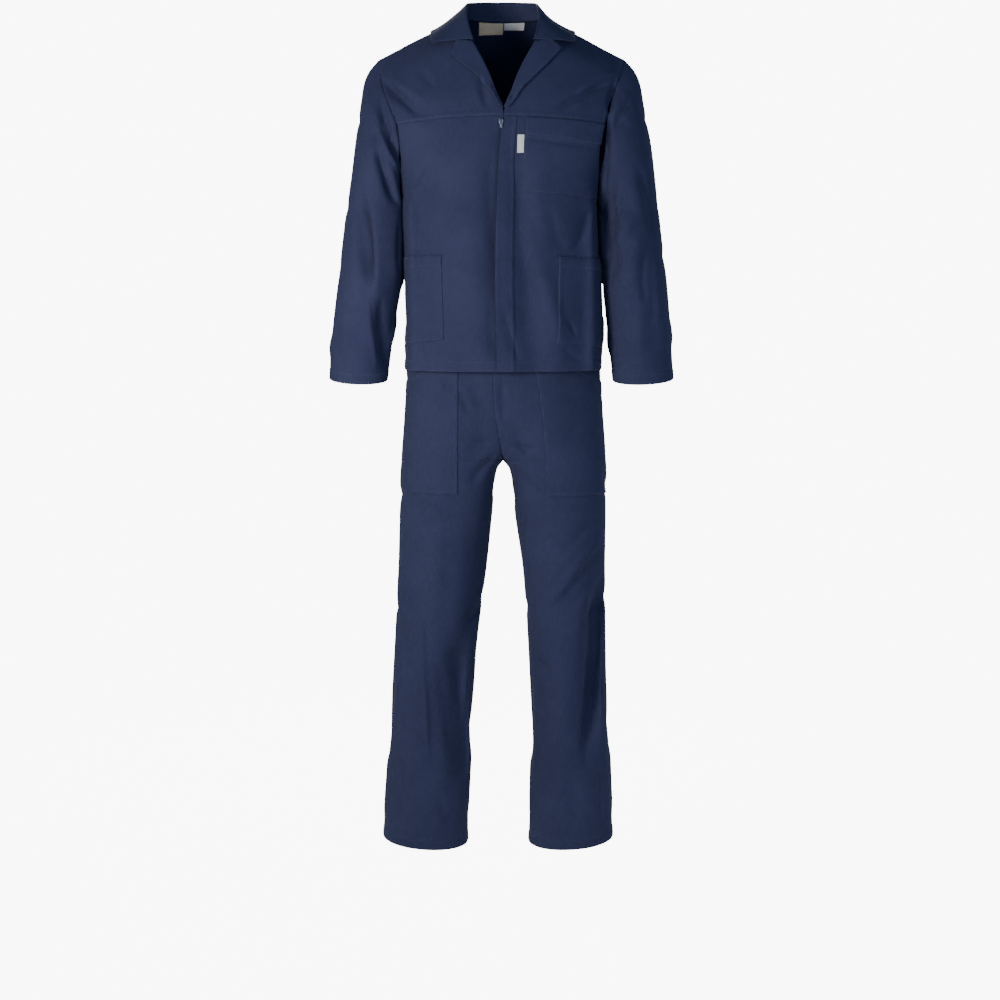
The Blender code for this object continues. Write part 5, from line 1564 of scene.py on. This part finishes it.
@dataclass(frozen=True)
class Zip:
    """What shows of the zip: its slider at the top of the closing, and the pull tab that swings on it."""
    metal: bpy.types.Material
    middle: tuple[float, float] = (-2.0, -200.0)
    # Y of the slider's face and of the tab's
    front: float = -121.4
    tab_front: float = -123.1
    # Half width, half height and thickness
    body: tuple[float, float, float] = (4.3, 5.4, 2.8)
    tab: tuple[float, float, float] = (2.6, 8.2, 1.2)
    # How far the tab's middle hangs below the slider's, and its hole stands above that; the radius
    drop: float = 5.25
    rise: float = 6.3
    hole: float = 1.15
    sides: int = 48

    def outline(self, half: tuple[float, float], taper: float, power: float = 0.55) -> np.ndarray:
        """A squared oval of x and z: cosine and sine to a power, narrower upwards by the taper."""
        t = np.arange(self.sides) / self.sides * 2 * math.pi
        x = np.sign(np.cos(t)) * np.abs(np.cos(t)) ** power
        z = np.sign(np.sin(t)) * np.abs(np.sin(t)) ** power
        return np.stack([x * half[0] * (1 - taper * z), z * half[1]], 1)

    def rim(self, depth: float, bevel: float) -> tuple[np.ndarray, np.ndarray]:
        """How far the rings of a rounded edge are drawn in, and their depths, from front to back."""
        a = np.linspace(0, math.pi / 2, 5)
        inset = np.concatenate([1 - np.sin(a), 1 - np.cos(a)]) * bevel
        deep = np.concatenate([(1 - np.cos(a)) * bevel, depth - bevel + np.sin(a) * bevel])
        return inset, deep

    def rings(self, outline: np.ndarray, inset: np.ndarray, deep: np.ndarray, y: float,
              middle: tuple[float, float]) -> np.ndarray:
        """Copies of an outline drawn in towards its own middle by insets, at depths behind y."""
        reach = np.linalg.norm(outline, axis=1, keepdims=True)
        flat = outline * np.maximum(1 - inset[:, None, None] / reach, 0)
        return np.stack([flat[..., 0] + middle[0], np.broadcast_to((y + deep)[:, None], flat.shape[:2]),
                         flat[..., 1] + middle[1]], -1)

    def give(self, item: bpy.types.Object, body: str, *nodes: str) -> None:
        """Dresses a metal piece and names what it rides on and stands for."""
        item.data.materials.append(self.metal)
        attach(item, body)
        if nodes:
            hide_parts(*nodes)
        log.info("%s: %d faces", item.name, len(item.data.polygons))

    def slider(self) -> None:
        """The slider's plate, its rings closed at the middle of both faces, and the bridge on it.

        An inset of 99 mm is more than any radius, so that ring falls together on the middle. The
        bridge is half a ring of round wire, wider across than it is thick.
        """
        inset, deep = self.rim(self.body[2], 0.8)
        inset = np.concatenate([[99, 2.4], inset, [2.4, 99]])
        deep = np.concatenate([[-0.25, -0.1], deep, [self.body[2], self.body[2]]])
        points = self.rings(self.outline(self.body[:2], -0.08), inset, deep, self.front, self.middle)
        faces = quads(*points.shape[:2], True, False)
        item = new_mesh("zip_slider_plate", points.reshape(-1, 3), faces, weld=True)
        self.give(item, SUIT, "zip_slider")
        t = np.linspace(0, math.pi, 25)[:, None]
        a = (np.arange(12) / 12 * 2 * math.pi)[None]
        thick, wide = 0.42, 0.85
        arm_z, arm_y = 2.5 + thick * np.cos(a), 2.0 + thick * np.cos(a)
        x = self.middle[0] + wide * np.sin(a) + 0 * t
        y = self.front + 0.2 - arm_y * np.sin(t)
        z = self.middle[1] + 1.3 + arm_z * np.cos(t)
        item = new_mesh("zip_bridge", np.stack([x, y, z], -1).reshape(-1, 3), quads(25, 12, True, True))
        self.give(item, SUIT)

    def pull(self) -> None:
        """The pull tab: rounded rims outside and round its hole, thicker at the end that is held."""
        inset, deep = self.rim(self.tab[2], 0.3)
        place = (self.middle[0], self.middle[1] - self.drop)
        outer = self.rings(self.outline(self.tab[:2], 0.13), inset, deep, self.tab_front, place)
        t = np.arange(self.sides) / self.sides * 2 * math.pi
        hole = np.stack([np.cos(t), np.sin(t)], 1) * self.hole
        inner = self.rings(hole, -inset[::-1], deep[::-1], self.tab_front, (place[0], place[1] + self.rise))
        points = np.concatenate([outer, inner, outer[:1]])
        ahead = points[..., 1] < self.tab_front + self.tab[2] / 2
        points[..., 1] -= 0.35 * bell((points[..., 2] - place[1] + 6.2) / 2.2) * ahead
        faces = quads(*points.shape[:2], True, False)
        item = new_mesh("zip_pull_tab", points.reshape(-1, 3), faces, weld=True)
        self.give(item, "zip_pull", "zip_pull")

    def build(self) -> None:
        """Makes the slider and the pull tab."""
        self.slider()
        self.pull()


# Studio

@dataclass(frozen=True)
class Studio:
    """Camera, soft lights, bright surroundings and a round pale floor."""
    eye: tuple[float, float, float] = (-0.004, -4.2, -0.48)
    aim: tuple[float, float, float] = (-0.004, 0.0, -0.94)
    lens: float = 76.05
    floor: float = -1.92
    floor_size: float = 3.2
    white: float = 9.2
    ambient: float = 0.22
    # Name, place, aim, size in metres, power in watts, colour
    lights: tuple = (("key", (-0.95, -1.3, -0.45), (-0.05, 0, -0.55), 0.5, 19, "#fff6e6"),
                     ("side_fill", (1.0, -2.2, -0.35), (0, 0, -0.5), 0.7, 8, "#e9efff"),
                     ("left_side", (2.4, 0.7, -0.4), (0, 0, -0.6), 1.0, 5, "#e9efff"),
                     ("back", (-0.5, 3.0, 1.3), (0, 0, -0.7), 1.2, 125, "#fff4e4"),
                     ("fill", (-0.5, -4.7, -0.6), (0, 0, -0.8), 1.6, 13, "#e9efff"))

    def aimed(self, name: str, data: bpy.types.ID, place: Sequence[float],
              aim: Sequence[float]) -> bpy.types.Object:
        """An object in the scene that looks from a place at its aim."""
        item = bpy.data.objects.new(name, data)
        item.location = place
        item.rotation_euler = (Vector(aim) - Vector(place)).to_track_quat("-Z", "Y").to_euler()
        bpy.context.scene.collection.objects.link(item)
        return item

    def camera(self) -> None:
        """Puts the camera where the photographer stood."""
        data = bpy.data.cameras.new("camera")
        data.lens, data.sensor_width = self.lens, 36
        bpy.context.scene.camera = self.aimed("camera", data, self.eye, self.aim)

    def light(self, name: str, place: Sequence[float], aim: Sequence[float], size: float, power: float,
              colour: str) -> None:
        """Adds a square soft light."""
        data = bpy.data.lights.new(name, "AREA")
        data.size, data.energy, data.color = size, power, linear(colour)[:3]
        self.aimed(name, data, place, aim)

    def shown(self, tree: bpy.types.NodeTree, lighting: bpy.types.Node,
              looks: bpy.types.Node) -> bpy.types.NodeSocket:
        """One shader for light that falls on the suit and another for what the eye sees straight."""
        path = node(tree, "ShaderNodeLightPath")
        both = {0: path.outputs["Is Camera Ray"], 1: lighting.outputs[0], 2: looks.outputs[0]}
        return node(tree, "ShaderNodeMixShader", both).outputs[0]

    def world(self) -> None:
        """Surroundings that look nearly white but light the cloth more weakly."""
        world = bpy.data.worlds.new("surroundings")
        world.use_nodes = True
        tree = world.node_tree
        tree.nodes.clear()
        seen = node(tree, "ShaderNodeBackground", Color=(1, 1, 1, 1), Strength=self.white)
        lit = node(tree, "ShaderNodeBackground", Color=linear("#bedaff"), Strength=self.ambient)
        node(tree, "ShaderNodeOutputWorld", {0: self.shown(tree, lit, seen)})
        bpy.context.scene.world = world

    def ground(self) -> None:
        """A round pale floor below the hems: rings of points, the shade of the room, a faint shadow."""
        t = (np.arange(96) / 96 * 2 * math.pi)[None]
        r = np.linspace(0.0, self.floor_size / MM, 24)[:, None]
        points = np.stack([r * np.cos(t), r * np.sin(t), np.full((r * t).shape, self.floor / MM)], -1)
        item = new_mesh("floor", points.reshape(-1, 3), quads(24, 96, True, True), weld=True)
        material = bpy.data.materials.new("pale_floor")
        material.use_nodes = True
        tree = material.node_tree
        tree.nodes.clear()
        matt = node(tree, "ShaderNodeBsdfDiffuse", Color=linear("#e9e9e9"))
        glow = node(tree, "ShaderNodeEmission", Color=(1, 1, 1, 1), Strength=self.white * 0.93)
        sum_of = node(tree, "ShaderNodeAddShader", {0: matt.outputs[0], 1: glow.outputs[0]})
        node(tree, "ShaderNodeOutputMaterial", {0: self.shown(tree, matt, sum_of)})
        item.data.materials.append(material)

    def build(self) -> None:
        """Makes the camera, the lights, the surroundings and the floor."""
        self.camera()
        self.world()
        self.ground()
        for light in self.lights:
            self.light(*light)


# Folds placed one by one

FRONT_FOLDS = Folds(Side.FRONT, (
    # right sleeve
    (-236, -143, -195, -287, 3, 8, -9, 0.3), (-244, -200, -200, -295, 0, 6, 4.5, 0),
    (-241, -238, -199, -364, 3, 9, -10, 0.3), (-201, -377, -196, -512, 0, 6, -4, 0),
    (-280, -325, -254, -498, 2, 5, 2.2, 0), (-272, -322, -248, -525, 2, 12, -19, 0.2),
    (-262, -525, -246, -686, 0, 5, 2, 0), (-237, -521, -226, -696, 0, 9, -4, 0.2),
    (-315, -575, -300, -667, 0, 8, 1.6, 0),
    # right yoke
    (-241, -102, -151, -191, 4, 8, -6.5, 0.2), (-218, -102, -142, -166, 3, 9, 2.4, 0),
    (-162, -87, -126, -140, 2, 9, -2.6, 0.2), (-44, -106, -27, -182, -2, 5, -4.5, 0.2),
    (-54, -121, -42, -182, 0, 4, 1.6, 0),
    # left yoke, armhole and sleeve
    (228, -94, 134, -153, 3, 7, 4, 0), (222, -121, 94, -181, 3, 7, -5, 0.2),
    (220, -110, 205, -189, 0, 6, -5, 0), (209, -174, 196, -330, 1, 7, -9, 0.2),
    (196, -303, 209, -483, 0, 8, -7, 0.2), (255, -136, 205, -193, 2, 6, 3.5, 0),
    (265, -155, 211, -215, 2, 7, -3, 0.2), (247, -337, 210, -398, 2, 9, -4.5, 0.2),
    (272, -368, 211, -448, 3, 10, 4, 0), (262, -272, 299, -425, -3, 11, -4.5, 0.2),
    (278, -440, 277, -556, 2, 9, -3.5, 0.2), (298, -444, 303, -608, 0, 8, 2, 0),
    (244, -502, 253, -676, 3, 8, 1.6, 0),
    # fronts
    (-23, -236, -15, -483, 2, 8, -1.6, 0.5), (-23, -532, -19, -659, 0, 5, -1.6, 0),
    (34, -331, 127, -659, 4, 17, 5, 0), (82, -350, 126, -456, 2, 13, -2, 0.2),
    (172, -350, 130, -452, -12, 9, -3, 0.2), (2, -540, 38, -674, 3, 9, -2.6, 0.3),
    (129, -574, 144, -613, 1, 5, -2, 0.2), (114, -628, 158, -659, 2, 6, -2, 0.2),
    (-145, -270, -180, -350, 4, 12, -2.2, 0.2), (-187, -312, -138, -378, -3, 9, 1.8, 0),
    (-9, -184, -12, -678, 0, 6, 1.0, 0), (-203, -453, -100, -451, 0, 4, -3, 0),
    (92, -453, 199, -460, 0, 4, -3, 0), (27, -228, 202, -252, 0, 4, -2.5, 0),
    # trouser tops
    (-118, -683, -89, -722, 1, 8, -4, 0.2), (-89, -710, -58, -760, 1, 8, -4, 0.2),
    (-12, -835, -66, -905, -3, 10, -4, 0.3), (-86, -811, -14, -819, 2, 6, -1.8, 0.2),
    (2, -683, 2, -782, 0, 7, -2, 0.2), (25, -811, 58, -842, 2, 5, -2.2, 0.2),
    (8, -819, 74, -835, -2, 6, -1.8, 0.2), (-166, -928, -144, -954, 1, 4, -2.2, 0.2),
    (-190, -796, -109, -805, -3, 9, 1.6, 0), (27, -870, 100, -944, 3, 11, -4.5, 0.2),
    (170, -687, 198, -737, 0, 6, -2, 0.2),
    # right leg
    (-162, -1109, -149, -1461, -1, 6, 4.2, 0), (-128, -1229, -103, -1471, -3, 12, -3, 0.1),
    (-197, -1153, -171, -1378, 2, 8, -2.6, 0.2), (-116, -970, -130, -1129, 3, 16, 2, 0),
    (-195, -1524, -175, -1557, 1, 5, -1.6, 0.2), (-123, -1512, -104, -1610, 2, 8, -1.6, 0.2),
    # left leg
    (204, -1000, 81, -1154, 4, 11, 5, 0), (205, -1050, 167, -1488, 4, 15, -9, 0.2),
    (192, -971, 106, -1050, 3, 10, -2.6, 0.2), (205, -1062, 134, -1154, 3, 9, -3, 0.2),
    (166, -1230, 151, -1427, 1, 6, 2, 0), (65, -1250, 97, -1276, 1, 6, -4, 0.2),
    (195, -1468, 204, -1606, 0, 8, -3, 0.2), (91, -1174, 158, -1186, 1, 7, -1.5, 0.2),
    (65, -1330, 76, -1512, 2, 14, 2, 0), (67, -971, 75, -1130, 2, 18, -2, 0.1)), strength=1.35)

BACK_FOLDS = Folds(Side.BACK, (
    (-228, -170, -150, -232, -6, 11, -3.6, 0.3), (-214, -236, -128, -300, -5, 10, -2.4, 0.2),
    (222, -182, 160, -240, 6, 10, -3.4, 0.3), (206, -250, 120, -330, 5, 11, -2.5, 0.2),
    (-120, -380, -60, -610, 8, 16, -2.6, 0.3), (96, -420, 52, -650, -7, 15, -2.4, 0.3),
    (-20, -470, 12, -660, 6, 18, 2.4, 0.0), (-276, -330, -246, -450, -5, 9, -3.2, 0.3),
    (-262, -440, -300, -500, 5, 9, -2.6, 0.2), (282, -350, 250, -470, 6, 9, -3.4, 0.3),
    (262, -460, 306, -530, 5, 9, -2.4, 0.2), (-90, -800, -20, -862, 6, 10, -3.0, 0.3),
    (84, -790, 24, -858, -6, 9, -2.8, 0.3), (-160, -900, -70, -950, 7, 11, -3.2, 0.3),
    (166, -890, 60, -952, 8, 12, -3.4, 0.3), (-180, -1140, -90, -1200, 8, 11, -3.4, 0.3),
    (-66, -1180, -150, -1236, 6, 10, -2.6, 0.2), (176, -1150, 90, -1216, 7, 11, -3.2, 0.3),
    (60, -1196, 130, -1250, 6, 9, -2.4, 0.2), (-120, -1290, -138, -1530, 6, 15, -3.0, 0.3),
    (118, -1300, 150, -1520, -6, 14, -2.8, 0.3), (-190, -1300, -180, -1480, 5, 12, 2.4, 0.0),
    (190, -1330, 176, -1500, 5, 12, 2.2, 0.0)))

LEFT_FOLDS = Folds(Side.LEFT, (
    (-46, -150, 30, -214, 6, 10, -2.6, 0.3), (40, -300, -30, -380, 6, 10, -2.8, 0.3),
    (-40, -420, 28, -500, 6, 10, -2.6, 0.2), (20, -560, -36, -640, 5, 10, 2.2, 0.2),
    (-50, -860, 40, -930, 8, 12, -2.4, 0.3), (30, -1120, -50, -1200, 8, 12, -3.0, 0.3),
    (-30, -1240, 30, -1480, 6, 13, -2.6, 0.2), (16, -1420, -10, -1600, 5, 12, 2.0, 0.0)))

RIGHT_FOLDS = Folds(Side.RIGHT, (
    (-40, -160, 36, -220, 6, 10, -2.6, 0.3), (36, -310, -34, -400, 6, 10, -3.0, 0.3),
    (-30, -450, 34, -540, 6, 10, -2.4, 0.2), (24, -580, -30, -660, 5, 10, 2.2, 0.2),
    (-46, -880, 44, -950, 8, 12, -2.4, 0.3), (34, -1140, -44, -1220, 8, 12, -2.8, 0.3),
    (-26, -1260, 26, -1500, 6, 13, -2.6, 0.2), (10, -1440, -14, -1610, 5, 12, 2.0, 0.0)))


def main() -> None:
    """Builds the suit and the studio."""
    logging.basicConfig(level=logging.INFO, format="%(name)s: %(message)s")
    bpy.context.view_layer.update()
    Studio().build()
    room = Workroom((FRONT_FOLDS, BACK_FOLDS, LEFT_FOLDS, RIGHT_FOLDS), Rumple(),
                    Twill().build(), Thread().build(),
                    Tape("khaki_tape", "#efdfc0", "#d8c6a2").build(),
                    Tape("white_tape", "#f2f3f3", "#d4d6d8").build())
    Jacket(room).build()
    Trousers(room).build()
    Zip(ZipMetal().build()).build()


if __name__ == "__main__":
    main()
